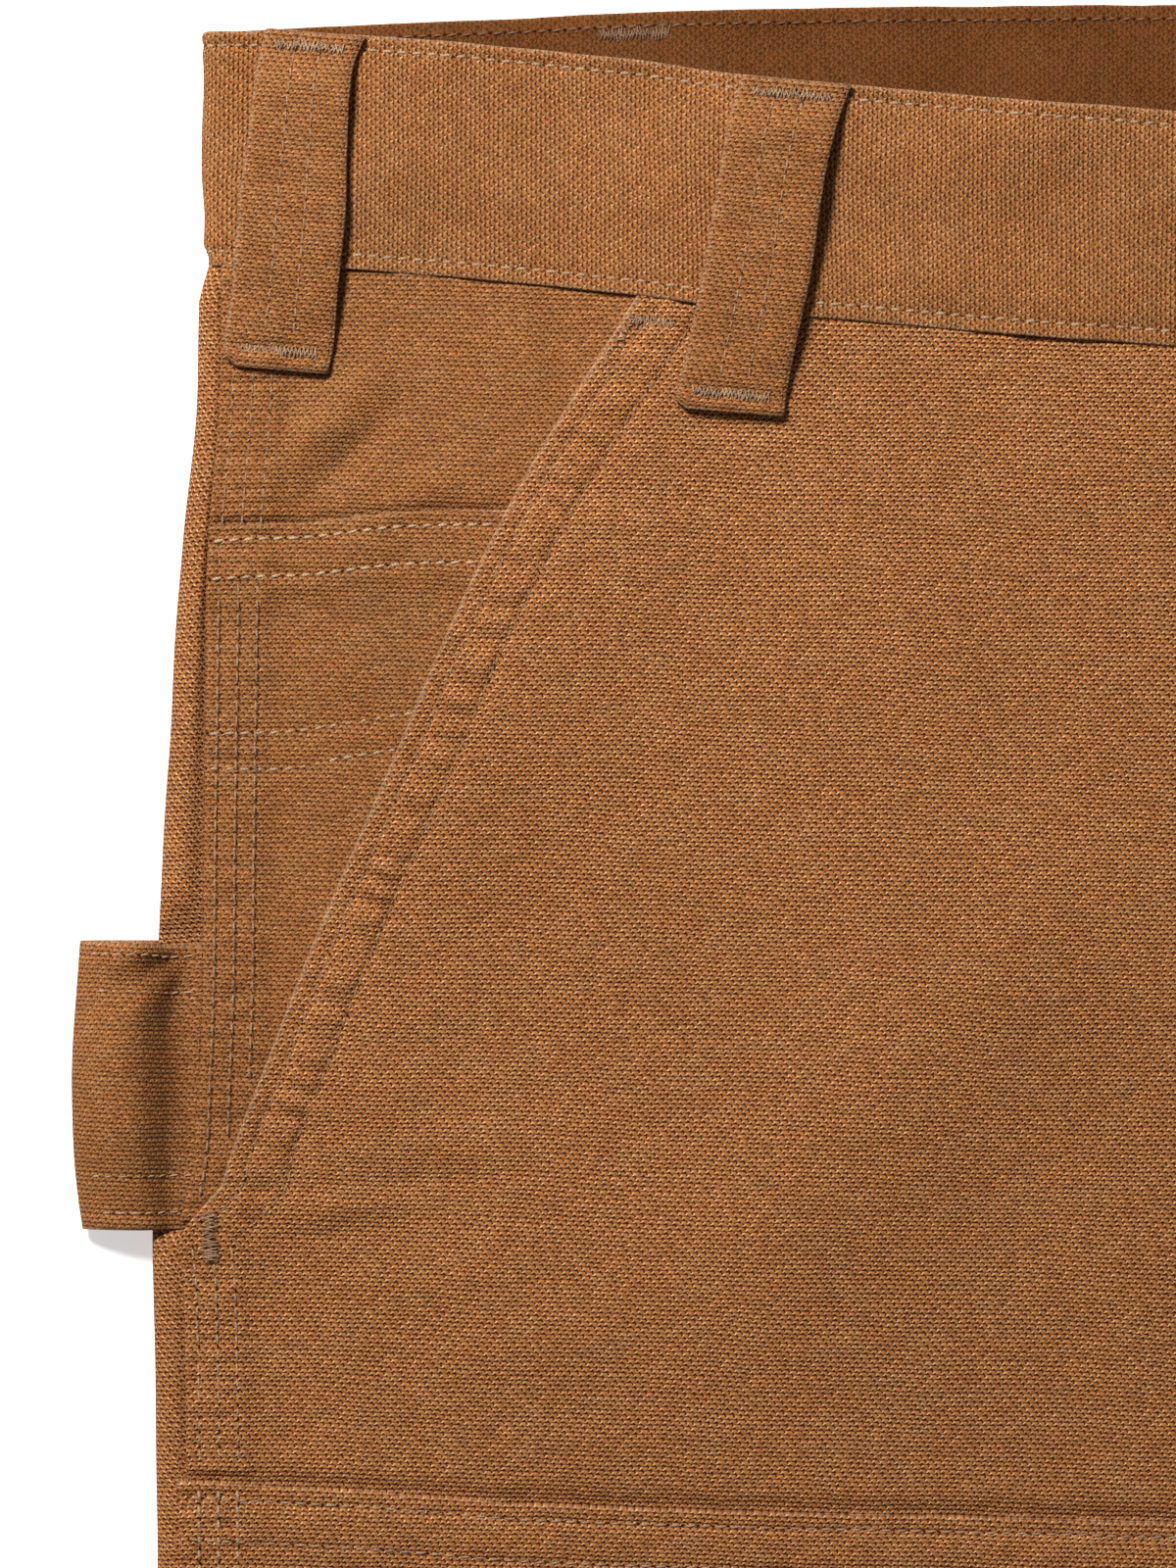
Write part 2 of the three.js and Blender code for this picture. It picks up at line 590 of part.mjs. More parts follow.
// Waist button: a low metal dome on the upper end of the band.
function waistButton() {
  const { across, below, radius, height } = BUTTON;
  const profile = [
    [0, 0],
    [radius * 0.55, 0],
    [radius * 0.62, height * 0.35],
    [radius, height * 0.45],
    [radius, height * 0.75],
    [radius * 0.8, height],
    [radius * 0.4, height * 0.9],
    [0, height * 0.88],
  ].map(([r, z]) => new THREE.Vector2(r, z));
  const metal = new THREE.MeshStandardMaterial({ color: METAL, roughness: 0.4, metalness: 1 });
  const button = addPiece("waist_button", new THREE.LatheGeometry(profile, 24), metal);
  button.rotation.x = Math.PI / 2;
  button.position.set(across, yOf(frontWaist(across) + below), bandTop(across) + SEAM_GAP);
}

for (const side of [-1, 1]) {
  backPanel(side);
  hipFacing(side);
  frontPanel(side);
  kneePatch(side);
  backPocket(side);
  LOOPS.forEach((loop) => beltLoop(side, loop));
}
coinPocket();
waistband();
BACK_LOOPS.forEach(backLoop);
hammerLoop();
waistButton();

export default trousers;
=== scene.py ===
import bisect
import math
import random
from collections import namedtuple
from functools import lru_cache

import bmesh
import bpy
import numpy as np
from mathutils import Matrix, Vector, noise


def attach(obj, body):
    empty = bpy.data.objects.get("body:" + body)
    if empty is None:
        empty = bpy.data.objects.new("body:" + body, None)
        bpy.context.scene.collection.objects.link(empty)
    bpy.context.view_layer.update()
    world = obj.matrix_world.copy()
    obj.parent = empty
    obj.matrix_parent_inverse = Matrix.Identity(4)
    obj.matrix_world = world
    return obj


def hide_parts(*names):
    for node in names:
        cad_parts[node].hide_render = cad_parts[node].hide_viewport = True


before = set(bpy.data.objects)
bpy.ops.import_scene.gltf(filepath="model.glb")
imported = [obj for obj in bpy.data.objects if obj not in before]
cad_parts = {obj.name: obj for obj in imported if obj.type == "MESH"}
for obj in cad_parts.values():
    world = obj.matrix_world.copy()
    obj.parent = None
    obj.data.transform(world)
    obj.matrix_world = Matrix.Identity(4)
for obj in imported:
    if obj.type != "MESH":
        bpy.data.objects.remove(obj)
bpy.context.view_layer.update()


# Back panels, right and left: heavy brown duck canvas, cut in one piece from waist to hem.
# Each lies under the leg, wraps up round the side fold and is felled under the front beside it.

# Sizes are millimetres. Across is out from the centre line, down is below the top of the
# waistband at its side, and side is -1 for the wearer's right leg and 1 for the left.
MM = 0.001
UP = Vector((0, 0, 1))
SIDES = ((-1, "right"), (1, "left"))
HEM = 1074.4
WAIST_Y = 534.4  # y of down 0
HALF_WAIST = 216
BAND_HEIGHT = 44.5
CLOTH = 0.5  # wall of one layer
TURN = 0.6  # radius of a turned edge

Section = namedtuple("Section", "down outer inner inset height rise")
SECTIONS = [
    Section(-6, 216.0, 0, 4.2, 8.4, 6.2),
    Section(44, 216.4, 0, 4.2, 8.4, 6.5),
    Section(70, 217.1, 0, 4.5, 8.2, 6.2),
    Section(98, 220.0, 0, 5.2, 8.0, 5.6),
    Section(124, 221.7, 0, 6.4, 8.0, 4.8),
    Section(157, 223.7, 0, 7.9, 8.0, 3.8),
    Section(180, 224.9, 0, 8.9, 8.0, 3.2),
    Section(198, 225.3, 0, 8.6, 8.0, 2.8),
    Section(215, 225.6, 0, 7.9, 8.0, 2.4),
    Section(227, 225.6, 0, 5.4, 8.0, 2.1),
    Section(236, 225.5, 0, 6.0, 8.0, 1.8),
    Section(254, 225.1, 0, 6.1, 7.8, 1.4),
    Section(283, 224.7, 0, 5.9, 7.4, 0.7),
    Section(305, 224.7, 0, 5.9, 7.1, 0.3),
    Section(318, 224.8, 1.2, 5.9, 6.9, 0),
    Section(350, 225.2, 4.2, 5.9, 6.8, 0),
    Section(430, 226.8, 9.5, 5.9, 6.7, 0),
    Section(560, 230.2, 15, 5.9, 6.6, 0),
    Section(665, 234.0, 20, 5.9, 6.6, 0),
    Section(800, 238.8, 27, 5.9, 6.5, 0),
    Section(940, 244.3, 36, 5.9, 6.4, 0),
    Section(HEM, 250.0, 45, 5.9, 6.4, 0),
]
FRONT_WAIST = [(0, 17.0), (46, 14.6), (82, 11.6), (114, 8.7), (136, 5.6), (169, 2.2), (198, 0.1), (216, 0)]
BACK_WAIST = [(0, -5.6), (60, -5.4), (97, -5.0), (134, -4.1), (164, -2.6), (193, -1.5), (216, -0.2)]

Fold = namedtuple("Fold", "across0 down0 across1 down1 width height")
FOLDS = {
    -1: [
        Fold(14, 318, 128, 372, 15, 1.9),
        Fold(205, 548, 74, 612, 18, 2.2),
        Fold(42, 676, 160, 716, 17, 2.0),
        Fold(222, 868, 108, 902, 18, 2.3),
        Fold(52, 944, 150, 972, 16, 1.7),
    ],
    1: [
        Fold(12, 322, 112, 366, 14, 2.0),
        Fold(18, 380, 96, 446, 16, 1.4),
        Fold(212, 588, 88, 630, 18, 2.0),
        Fold(36, 690, 158, 708, 17, 2.1),
        Fold(228, 892, 130, 926, 18, 2.1),
    ],
}
RISE = (4, 110)  # from the side fold, to where the middle is fully up
FOLD_FADE = (4, 26)
CROTCH = (297, 318)  # down, from where the inner edges turn under to where the leg is a tube
SEAT_TO_LEG = (290, 400)  # down, where the back's rows of points change over
INSEAM_CLEAR = 0.45
# What the back lies on lifts it. Four places are where the lift starts, is full, leaves and ends.
BAND_LIFT = 2.0
BAND_LIFT_FADE = (62, 92)
POCKET_LIFT = 1.7
POCKET_ACROSS = (24, 36, 170, 178)
POCKET_DOWN = (92, 106, 264, 278)
HAMMER_LIFT = 2.1
HAMMER_ACROSS = (178, 192)
HAMMER_DOWN = (157, 169, 230, 242)
HAMMER_PRESSED = 3.6  # how much lower the side fold's face lies under the hammer loop
HAMMER_PRESSED_DOWN = (165, 172, 227, 232)
BACK_INSIDE = 8  # of the back panel under the felled edge
BACK_DIP = (0.7, 2.1)  # how much lower it lies there, near the band and below
BACK_DIP_GROWS = (76, 116)
BACK_DIP_LOST = 1.3  # of that, below the pocket mouth
MOUTH_CLOSES = (224, 238)
BACK_FOLLOWS = 110  # down, where the back's rows stop following the band
DRAWN_IN = 1.7  # of the side fold, where the band holds it
FOLD_SWAY = 0.35


def lerp(a, b, share):
    return a + (b - a) * share


def ease(at, start, end):
    """0 before start, 1 after end, and smooth between them."""
    t = min(max((at - start) / (end - start), 0.0), 1.0)
    return t * t * (3 - 2 * t)


def plateau(at, start, full, leaves, end):
    """0 before start and after end, 1 from full to leaves, and smooth between them."""
    return ease(at, start, full) * (1 - ease(at, leaves, end))


def bell(offset, width):
    """1 at no offset, and nothing about two widths away from it."""
    return math.exp(-((offset / width) ** 2))


def grooves(at, rows, width):
    """1 on each row of stitching, and nothing away from them."""
    return sum(bell(at - row, width) for row in rows)


def steps(count, first=0):
    return [i / count for i in range(first, count + 1)]


def curve(points):
    """A smooth curve through a table's points, level past its ends."""
    at, value = zip(*points)
    last = len(at) - 1
    ends = [(max(i - 1, 0), min(i + 1, last)) for i in range(last + 1)]
    slope = [(value[j] - value[i]) / (at[j] - at[i]) for i, j in ends]

    @lru_cache(maxsize=None)
    def height(x):
        x = min(max(x, at[0]), at[-1])
        i = min(bisect.bisect_right(at, x), last) - 1
        span = at[i + 1] - at[i]
        t = (x - at[i]) / span
        rise = value[i + 1] - value[i]
        bend = (slope[i] * span - rise) * (1 - t) - (slope[i + 1] * span - rise) * t
        return value[i] + rise * t + t * (1 - t) * bend

    return height


def section_curve(name):
    return curve([(row.down, getattr(row, name)) for row in SECTIONS])


outer, inner = section_curve("outer"), section_curve("inner")
inset, fold_height, rise = section_curve("inset"), section_curve("height"), section_curve("rise")
front_waist, back_waist = curve(FRONT_WAIST), curve(BACK_WAIST)


def seam_edge(row):
    """Across, where the side seam's felled edge is."""
    return outer(row) - inset(row)


def place(side, across, down, z):
    return Vector((side * across, WAIST_Y - down, z))


def closing(down):
    """0 where the two halves meet at the centre, 1 where the leg is a closed tube."""
    return ease(down, *CROTCH)


def inner_edge(down):
    return max(0.15, inner(down))


def folded(folds, across, down):
    """Height of a table's folds: soft ridges, or troughs where the height is negative."""
    height = 0.0
    for fold in folds:
        reach = 2.5 * fold.width
        if not min(fold.down0, fold.down1) - reach < down < max(fold.down0, fold.down1) + reach:
            continue
        x, y = fold.across1 - fold.across0, fold.down1 - fold.down0
        length = math.hypot(x, y)
        off_x, off_y = across - (fold.across0 + fold.across1) / 2, down - (fold.down0 + fold.down1) / 2
        share = min(1.0, abs(off_x * x + off_y * y) / length / (length / 2))
        aside = (off_x * y - off_y * x) / length / fold.width
        height += fold.height * math.exp(-aside * aside) * math.cos(share * math.pi / 2) ** 2
    return height


def plain_top(side, across, down):
    """Height of the upper cloth's face, before seams and edges."""
    from_fold = outer(down) - across
    near_inner = closing(down) * (1 - ease(across - inner_edge(down), *FOLD_FADE))
    folds = ease(from_fold, *FOLD_FADE) * (1 - near_inner) * folded(FOLDS[side], across, down)
    return fold_height(down) + rise(down) * ease(from_fold, *RISE) + folds


def lift(side, across, down):
    """Height of the back's outer face over the table: band, back pocket and hammer loop lift it."""
    on_pocket = plateau(across, *POCKET_ACROSS) * plateau(down, *POCKET_DOWN)
    on_hammer = ease(across, *HAMMER_ACROSS) * plateau(down, *HAMMER_DOWN)
    band = BAND_LIFT * (1 - ease(down, *BAND_LIFT_FADE))
    return max(band, POCKET_LIFT * on_pocket, HAMMER_LIFT * on_hammer * (side < 0))


def inner_turn(down, edge):
    """The inner edge going under between the legs: where it starts, then across and drop by share."""
    arc = (fold_height(down) / 2 - INSEAM_CLEAR) * math.pi / 2
    angle = max(1e-3, closing(down) * math.pi / 2)
    start = edge + arc * math.sin(angle) / angle
    turned = [
        (start - arc * math.sin(angle * f) / angle, arc * (1 - math.cos(angle * f)) / angle)
        for f in steps(5, 1)
    ]
    return start, turned


WEFT_SLOPE = 0.03  # of the rows of the weave, down to the centre line

Spot = namedtuple("Spot", "place weave edge inside", defaults=[0.0])


def spots_along(points, edges):
    """A row of cloth: each point with its place in the weave and its distance from an edge painted pale for
    wear and a highlight.
    """
    run = [0.0]
    for a, b in zip(points, points[1:]):
        run.append(run[-1] + math.hypot(b.x - a.x, b.z - a.z))
    middle = len(points) // 2
    sign = math.copysign(1, points[middle].x - points[middle - 1].x)
    start = points[middle].x - sign * run[middle]
    spots = []
    for p, r, e in zip(points, run, edges):
        u = start + sign * r
        spots.append(Spot(p, (u, p.y - WEFT_SLOPE * abs(u)), e))
    return spots


def cloth_piece(name, rows, material, wall=CLOTH, looks_up=True):
    """A wall of cloth from rows of spots on its outer face. Its middle looks up, or else down."""
    bm = bmesh.new()
    bmesh.ops.create_grid(bm, x_segments=len(rows[0]) - 1, y_segments=len(rows) - 1, size=1)
    bm.verts.index_update()
    weave = bm.loops.layers.uv.new("cloth")
    edge = bm.verts.layers.float.new("edge")
    inside = bm.verts.layers.float.new("inside")
    spots = [spot for row in rows for spot in row]
    for vert, spot in zip(bm.verts, spots):
        vert.co = spot.place * MM
        vert[edge] = spot.edge
        vert[inside] = spot.inside
    for face in bm.faces:
        for loop in face.loops:
            loop[weave].uv = Vector(spots[loop.vert.index].weave) * MM
    bm.normal_update()
    bm.faces.ensure_lookup_table()
    middle = bm.faces[(len(rows) // 2) * (len(rows[0]) - 1) + len(rows[0]) // 2]
    if (middle.normal.z > 0) != looks_up:
        bmesh.ops.reverse_faces(bm, faces=bm.faces)
    piece = new_piece(name, bm, material)
    solid = piece.modifiers.new("wall", "SOLIDIFY")
    solid.thickness = wall * MM
    solid.offset = -1
    solid.use_even_offset = False
    return piece


def new_piece(name, bm, material):
    mesh = bpy.data.meshes.new(name)
    bm.to_mesh(mesh)
    bm.free()
    return garment_piece(name, mesh, material)


def garment_piece(name, mesh, material):
    """A finished mesh as a piece of the garment."""
    mesh.shade_smooth()
    mesh.materials.append(material)
    piece = bpy.data.objects.new(name, mesh)
    bpy.context.collection.objects.link(piece)
    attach(piece, "root")
    return piece


class Number:
    """A value that changes over a surface: a node's output. Python's operators add Math nodes."""

    def __init__(self, finish, socket):
        self.finish, self.socket = finish, socket

    def math(self, operation, *values):
        return self.finish.add("ShaderNodeMath", {"operation": operation}, dict(enumerate(values)))

    def __add__(self, other):
        return self.math("ADD", self, other)

    def __sub__(self, other):
        return self.math("SUBTRACT", self, other)

    def __rsub__(self, other):
        return self.math("SUBTRACT", other, self)

    def __mul__(self, other):
        return self.math("MULTIPLY", self, other)

    def __truediv__(self, other):
        return self.math("DIVIDE", self, other)

    def __mod__(self, other):
        return self.math("FLOORED_MODULO", self, other)

    def __neg__(self):
        return self.math("MULTIPLY", self, -1)

    __radd__ = __add__
    __rmul__ = __mul__

    def round(self):
        return self.math("ROUND", self)

    def exp(self):
        return self.math("EXPONENT", self)

    def sine(self):
        return self.math("SINE", self)

    def eased(self, start, end):
        """0 to 1 as the value goes from start to end, smoothly."""
        sockets = {"Value": self, "From Min": start, "From Max": end}
        return self.finish.add("ShaderNodeMapRange", {"interpolation_type": "SMOOTHSTEP"}, sockets)


class Finish:
    """A material, and one way to add a node: its type, its settings, then its sockets."""

    def __init__(self, name):
        self.material = bpy.data.materials.new(name)
        self.material.use_nodes = True
        self.tree = self.material.node_tree
        self.tree.nodes.clear()

    def add(self, kind, settings, sockets, output=0):
        node = self.tree.nodes.new(kind)
        for name, value in settings.items():
            setattr(node, name, value)
        for name, value in sockets.items():
            if isinstance(value, Number):
                self.tree.links.new(value.socket, node.inputs[name])
            else:
                node.inputs[name].default_value = value
        return Number(self, node.outputs[output])

    def parts(self, vector):
        return [self.add("ShaderNodeSeparateXYZ", {}, {0: vector}, output=i) for i in range(2)]

    def vector(self, x, y, z=0.0):
        return self.add("ShaderNodeCombineXYZ", {}, {0: x, 1: y, 2: z})

    def noise(self, where, scale, detail=2.0):
        return self.add("ShaderNodeTexNoise", {}, {"Vector": where, "Scale": scale, "Detail": detail})

    def on_piece(self):
        """Where the point is on its piece."""
        return self.add("ShaderNodeTexCoord", {}, {}, output=3)

    def attribute(self, name, output=2):
        return self.add("ShaderNodeAttribute", {"attribute_name": name}, {}, output=output)

    def bump(self, strength, distance, height):
        return self.add(
            "ShaderNodeBump", {}, {"Strength": strength, "Distance": distance, "Height": height}
        )

    def mixed(self, factor, first, second, blend="MIX"):
        settings = {"data_type": "RGBA", "blend_type": blend}
        return self.add("ShaderNodeMix", settings, {0: factor, 6: first, 7: second}, output=2)

    def surface(self, sockets):
        shader = self.add("ShaderNodeBsdfPrincipled", {}, sockets)
        output = self.tree.nodes.new("ShaderNodeOutputMaterial")
        self.tree.links.new(shader.socket, output.inputs[0])
        return self.material


PICK = 0.87  # between rows of the weave
BEAD = 1.48  # between yarn crossings along a row

YARN = (0.385, 0.150, 0.044, 1)
YARN_RED = (0.375, 0.122, 0.043, 1)
YARN_TAN = (0.385, 0.173, 0.060, 1)
# Painted shade for the creases between rows and the pits where yarns cross, and a painted highlight for the
# slanting plies
ROW_GAP_SHADE = (0.140, 0.026, 0.002, 1)
PIT_SHADE = (0.070, 0.004, 0.0, 1)
GLINT = (1.0, 0.62, 0.32, 1)
WEAR_AND_HIGHLIGHT = (0.42, 0.28, 0.17, 1)
INSIDE_SHADE = (0.46, 0.40, 0.36, 1)  # painted shade on the inside, as a share of the outside's colour


def lump(x, y, at, size, degrees):
    """A soft oval spot on one cell of the weave: 1 in its middle, 0 away from it."""
    c, s = math.cos(math.radians(degrees)), math.sin(math.radians(degrees))
    along = ((x - at[0]) * c + (y - at[1]) * s) / size[0]
    aside = ((y - at[1]) * c - (x - at[0]) * s) / size[1]
    return (-(along * along + aside * aside)).exp()


def duck_canvas(name, tone, crisp):
    """Plain weave of doubled yarns: rows of round beads, staggered, each with a painted highlight on its
    slanting ply and painted shade in the creases and pits round it.
    Handled cloth is less crisp: its plies are rubbed together, and its painted highlights and shade are
    weaker."""
    finish = Finish(name)
    weave = finish.add("ShaderNodeUVMap", {"uv_map": "cloth"}, {})
    u, v = finish.parts(weave)
    u, v = u / MM, v / MM
    # The rows wander, and so do the beads along them
    v = v + (finish.noise(weave, 24.0) - 0.5) * 2.2 + (finish.noise(weave, 300.0) - 0.5) * 0.36
    u = u + (finish.noise(weave, 210.0) - 0.5) * 1.0

    # Each bead of yarn: its row, its number in the row, the place in it, and two random values
    row = (v / PICK).round()
    odd = finish.add("ShaderNodeTexWhiteNoise", {"noise_dimensions": "1D"}, {"W": row})
    along = u / BEAD + (row % 2) * 0.5 + odd * 0.3
    bead = along.round()
    x = (along - bead) * BEAD
    y = v - row * PICK
    cell = finish.vector(bead, row)
    luck = finish.add("ShaderNodeTexWhiteNoise", {"noise_dimensions": "2D"}, {"Vector": cell})
    other = (luck * 17.3) % 1.0

    # What shows on a bead: painted shade in the crease between rows, a painted highlight on the slanting
    # ply, and painted shade in the pits where yarns cross; they shape the bump too
    crease = (y / PICK * 2) * (y / PICK * 2)
    crease = crease * crease
    x = x + (luck - 0.5) * 0.26
    y = y + (other - 0.5) * 0.17
    glint = lump(x, y, (-0.01, 0.05), (0.27, 0.13), 45)
    below = lump(x, y, (-0.07, -0.34), (0.37, 0.15), 12)
    beside = lump(x, y, (0.30, -0.30), (0.40, 0.135), -53)
    above = lump(x, y, (-0.28, 0.22), (0.36, 0.13), -53)
    pit = (below * (0.6 + luck * 0.5) + beside * 0.85 + above * (0.6 + other * 0.4)).eased(0.07, 0.8)
    body = lump(x, y, (0.74, 0.02), (0.42, 0.34), 0) + lump(x, y, (-0.74, 0.02), (0.42, 0.34), 0)

    # Colours: the dyed yarns, then wear and a painted highlight along edges, loose fibres, and painted shade
    # on the inside
    where = finish.on_piece()
    patchy = finish.noise(where, 26.0, detail=4.0)
    reddish = finish.noise(where, 430.0, detail=1.0).eased(0.52, 0.74)
    tan = finish.noise(where, 150.0, detail=3.0).eased(0.42, 0.66)
    # The inside gets painted shade: a darker colour, and weaker painted highlights and pits
    inside = finish.attribute("inside")
    clear = (1 - inside * 0.65) * crisp
    yarn = finish.mixed(tan * 0.6, YARN, YARN_TAN)
    yarn = finish.mixed(reddish * 0.5, yarn, YARN_RED)
    # Painted shade in the creases and pits, then a painted highlight on each ply
    colour = finish.mixed(crease * 0.35 * (0.3 + clear * 0.7), yarn, ROW_GAP_SHADE)
    colour = finish.mixed(pit * (0.2 + clear * 0.8), colour, PIT_SHADE)
    colour = finish.mixed(glint * (0.5 + luck * 0.5) * clear, colour, GLINT)
    edge = finish.attribute("edge")
    frayed = finish.noise(weave, 900.0, detail=3.0) - 0.5
    # Pale along edges: wear, and a painted highlight where a turned edge catches the light
    wear_and_highlight = 1 - (edge + frayed * 2.4).eased(0.1, 1.1)
    colour = finish.mixed(wear_and_highlight * 0.42, colour, WEAR_AND_HIGHLIGHT)
    fibres = finish.noise(weave, 2400.0) - 0.5
    shade = (0.88 + patchy * 0.24 + fibres * 1.7 + (other - 0.5) * 0.26) * tone
    colour = finish.mixed(1.0, colour, finish.vector(shade, shade, shade), blend="MULTIPLY")
    colour = finish.mixed(inside, colour, INSIDE_SHADE, blend="MULTIPLY")

    height = body * 0.45 - crease * 0.15 + glint * 0.5 - pit * 0.5 + fibres * 0.5 + frayed * wear_and_highlight * 0.6
    bump = finish.bump(0.85, 0.0003, height)
    return finish.surface(
        {"Base Color": colour, "Roughness": 0.9, "Normal": bump, "Specular IOR Level": 0.04}
    )


canvas = duck_canvas("canvas", 1.03, 1.3)
handled_canvas = duck_canvas("handled_canvas", 0.88, 0.82)
FAR = 30.0  # distance from a pale edge, worn and with a painted highlight, where none is near


def back_row(side, row):
    follows = 1 - ease(row, BAND_HEIGHT, BACK_FOLLOWS)
    low = lift(side, outer(row), row)
    pressed = HAMMER_PRESSED * (side < 0) * plateau(row, *HAMMER_PRESSED_DOWN)
    radius = (fold_height(row) - pressed - low) / 2
    drawn_in = DRAWN_IN * (1 - ease(row, BAND_HEIGHT - 1, BAND_HEIGHT + 7))
    turn_at = outer(row) - radius - drawn_in
    seam = seam_edge(row) - drawn_in * 0.6
    start, turned = inner_turn(row, inner_edge(row))
    sway = FOLD_SWAY * noise.noise(Vector((side * 3, row / 24, 0.5)))

    def wrap_at(across):
        under = 1 - ease(across - seam, -0.5, max(0.9 * (turn_at - seam), 0.3))
        dip = lerp(*BACK_DIP, ease(row, *BACK_DIP_GROWS)) - BACK_DIP_LOST * ease(row, *MOUTH_CLOSES)
        z = plain_top(side, across, row) - max(dip * under, pressed)
        return place(side, across, row + front_waist(across) * follows, z)

    # Under the felled edge and out to the fold, round it, and in over the table to the centre
    points = [wrap_at(seam - inside) for inside in (BACK_INSIDE, 4, 1.5, 0)]
    points += [wrap_at(lerp(seam, turn_at, s)) for s in (0.2, 0.45, 0.72, 1.0)]
    for f in steps(10, 1):
        across = turn_at + (radius + sway) * math.sin(f * math.pi)
        waist = lerp(front_waist(HALF_WAIST), back_waist(HALF_WAIST), (1 - math.cos(f * math.pi)) / 2)
        z = low + radius * (1 + math.cos(f * math.pi))
        points.append(place(side, across, row + waist * follows, z))
    on_hip = [205, 192, 185, 178, 170, 150, 104, 70, 36, 30, 24]
    for i, across in enumerate([*on_hip, start]):
        even = lerp(turn_at, start, (i + 1) / (len(on_hip) + 1))
        across = lerp(across, even, ease(row, *SEAT_TO_LEG))
        points.append(place(side, across, row + back_waist(across) * follows, lift(side, across, row)))
    for across, drop in turned:
        down = row + back_waist(across) * follows
        points.append(place(side, across, down, lift(side, across, row) + drop))
    return spots_along(points, [FAR] * len(points))


# Rows of points, down: close together on the hip, wide apart on the legs
FINE_ROWS = [BAND_HEIGHT - 3 + 0.8 * i for i in range(328)]
LONG_ROWS = [310, 316, 323, 330, 338, 346, *range(355, 1070, 8), 1069, 1072, HEM]
BACK_ROWS = [*FINE_ROWS[::4], *LONG_ROWS]

for side, name in SIDES:
    rows = [back_row(side, row) for row in BACK_ROWS]
    back = cloth_piece("cloth_back_" + name, rows, canvas, looks_up=False)
    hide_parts("back_" + name)


# Sewing thread: a pale three-ply cotton, twisted, in lockstitch rows of nine stitches to the inch.
# It pulls down into the cloth at each needle hole, marked by a dark dimple of painted shade, and lies as
# close zigzag bars at the bartacks.

PITCH = 2.85
STITCH = (2.1, 0.33)  # length and radius
THREAD_PALE = (0.72, 0.50, 0.29, 1)
THREAD_DIM = (0.34, 0.185, 0.088, 1)
THREAD_SHADE = (0.16, 0.075, 0.035, 1)


def sewing_thread():
    finish = Finish("thread")
    x, y = finish.parts(finish.attribute("thread", output=1))
    dim = finish.attribute("dim")
    ply = ((x * 11.0 + y * 1.6).sine() + 1) / 2
    colour = finish.mixed(dim, THREAD_PALE, THREAD_DIM)
    # Painted shade: a dim above 1 darkens the thread further, for rows on the band's shaded inside
    colour = finish.mixed(dim - 1, colour, THREAD_SHADE)
    # Painted shade in the grooves between the twisted plies
    colour = finish.mixed((1 - ply) * 0.6, colour, THREAD_SHADE)
    bump = finish.bump(0.6, 0.0001, ply)
    return finish.surface({"Base Color": colour, "Roughness": 0.7, "Normal": bump, "Sheen Weight": 0.2})


def needle_hole_shade():
    # Painted shade: the dark inside a needle hole, on a small dimple set into the cloth
    finish = Finish("needle_hole_shade")
    where = finish.on_piece()
    patchy = finish.noise(where, 900.0)
    colour = finish.mixed(patchy, (0.020, 0.007, 0.002, 1), (0.075, 0.028, 0.010, 1))
    return finish.surface({"Base Color": colour, "Roughness": 1.0, "Specular IOR Level": 0.0})


thread, hole_shade = sewing_thread(), needle_hole_shade()


def stitch_shape():
    """One stitch, a unit long and of unit radius, its ends bent down."""
    bm = bmesh.new()
    bmesh.ops.create_uvsphere(bm, u_segments=6, v_segments=4, radius=1)
    bmesh.ops.rotate(bm, verts=bm.verts, matrix=Matrix.Rotation(math.pi / 2, 3, "Y"))
    for vert in bm.verts:
        vert.co.x *= 0.5
        vert.co.z -= 5.0 * vert.co.x**2
    bm.verts.index_update()
    return bm


def hole_shape():
    bm = bmesh.new()
    bmesh.ops.create_icosphere(bm, subdivisions=1, radius=1)
    bm.verts.index_update()
    return bm


def joined(name, shape, frames, material, dims=None):
    """One mesh of many copies of a shape, each placed by a frame of three axes and an origin."""
    base = np.array([vert.co for vert in shape.verts])
    faces = np.array([[v.index for v in f.verts] + [-1] * (4 - len(f.verts)) for f in shape.faces])
    shape.free()
    frames = np.array(frames)
    places = np.einsum("vk,mkc->mvc", base, frames[:, :3]) + frames[:, 3:4]
    corners = []
    for n in range(len(frames)):
        corners += [[i + n * len(base) for i in face if i >= 0] for face in faces.tolist()]
    mesh = bpy.data.meshes.new(name)
    mesh.from_pydata((places.reshape(-1, 3) * MM).tolist(), [], corners)
    if dims:
        lengths = np.linalg.norm(frames[:, 0], axis=1)[:, None]
        local = np.tile(base, (len(frames), 1, 1))
        local[:, :, 0] *= lengths
        attribute = mesh.attributes.new("thread", "FLOAT_VECTOR", "POINT")
        attribute.data.foreach_set("vector", local.ravel())
        attribute = mesh.attributes.new("dim", "FLOAT", "POINT")
        attribute.data.foreach_set("value", np.repeat(dims, len(base)))
    garment_piece(name, mesh, material)


def spaced(path, pitch, length):
    """Where the stitches of a row start and end along a path of points."""
    run = [0.0]
    for a, b in zip(path, path[1:]):
        run.append(run[-1] + (b - a).length)

    def at(s):
        i = min(bisect.bisect_right(run, s), len(run) - 1)
        return path[i - 1].lerp(path[i], (s - run[i - 1]) / max(run[i] - run[i - 1], 1e-6))

    return [(at(n * pitch), at(n * pitch + length)) for n in range(int((run[-1] - length) / pitch) + 1)]


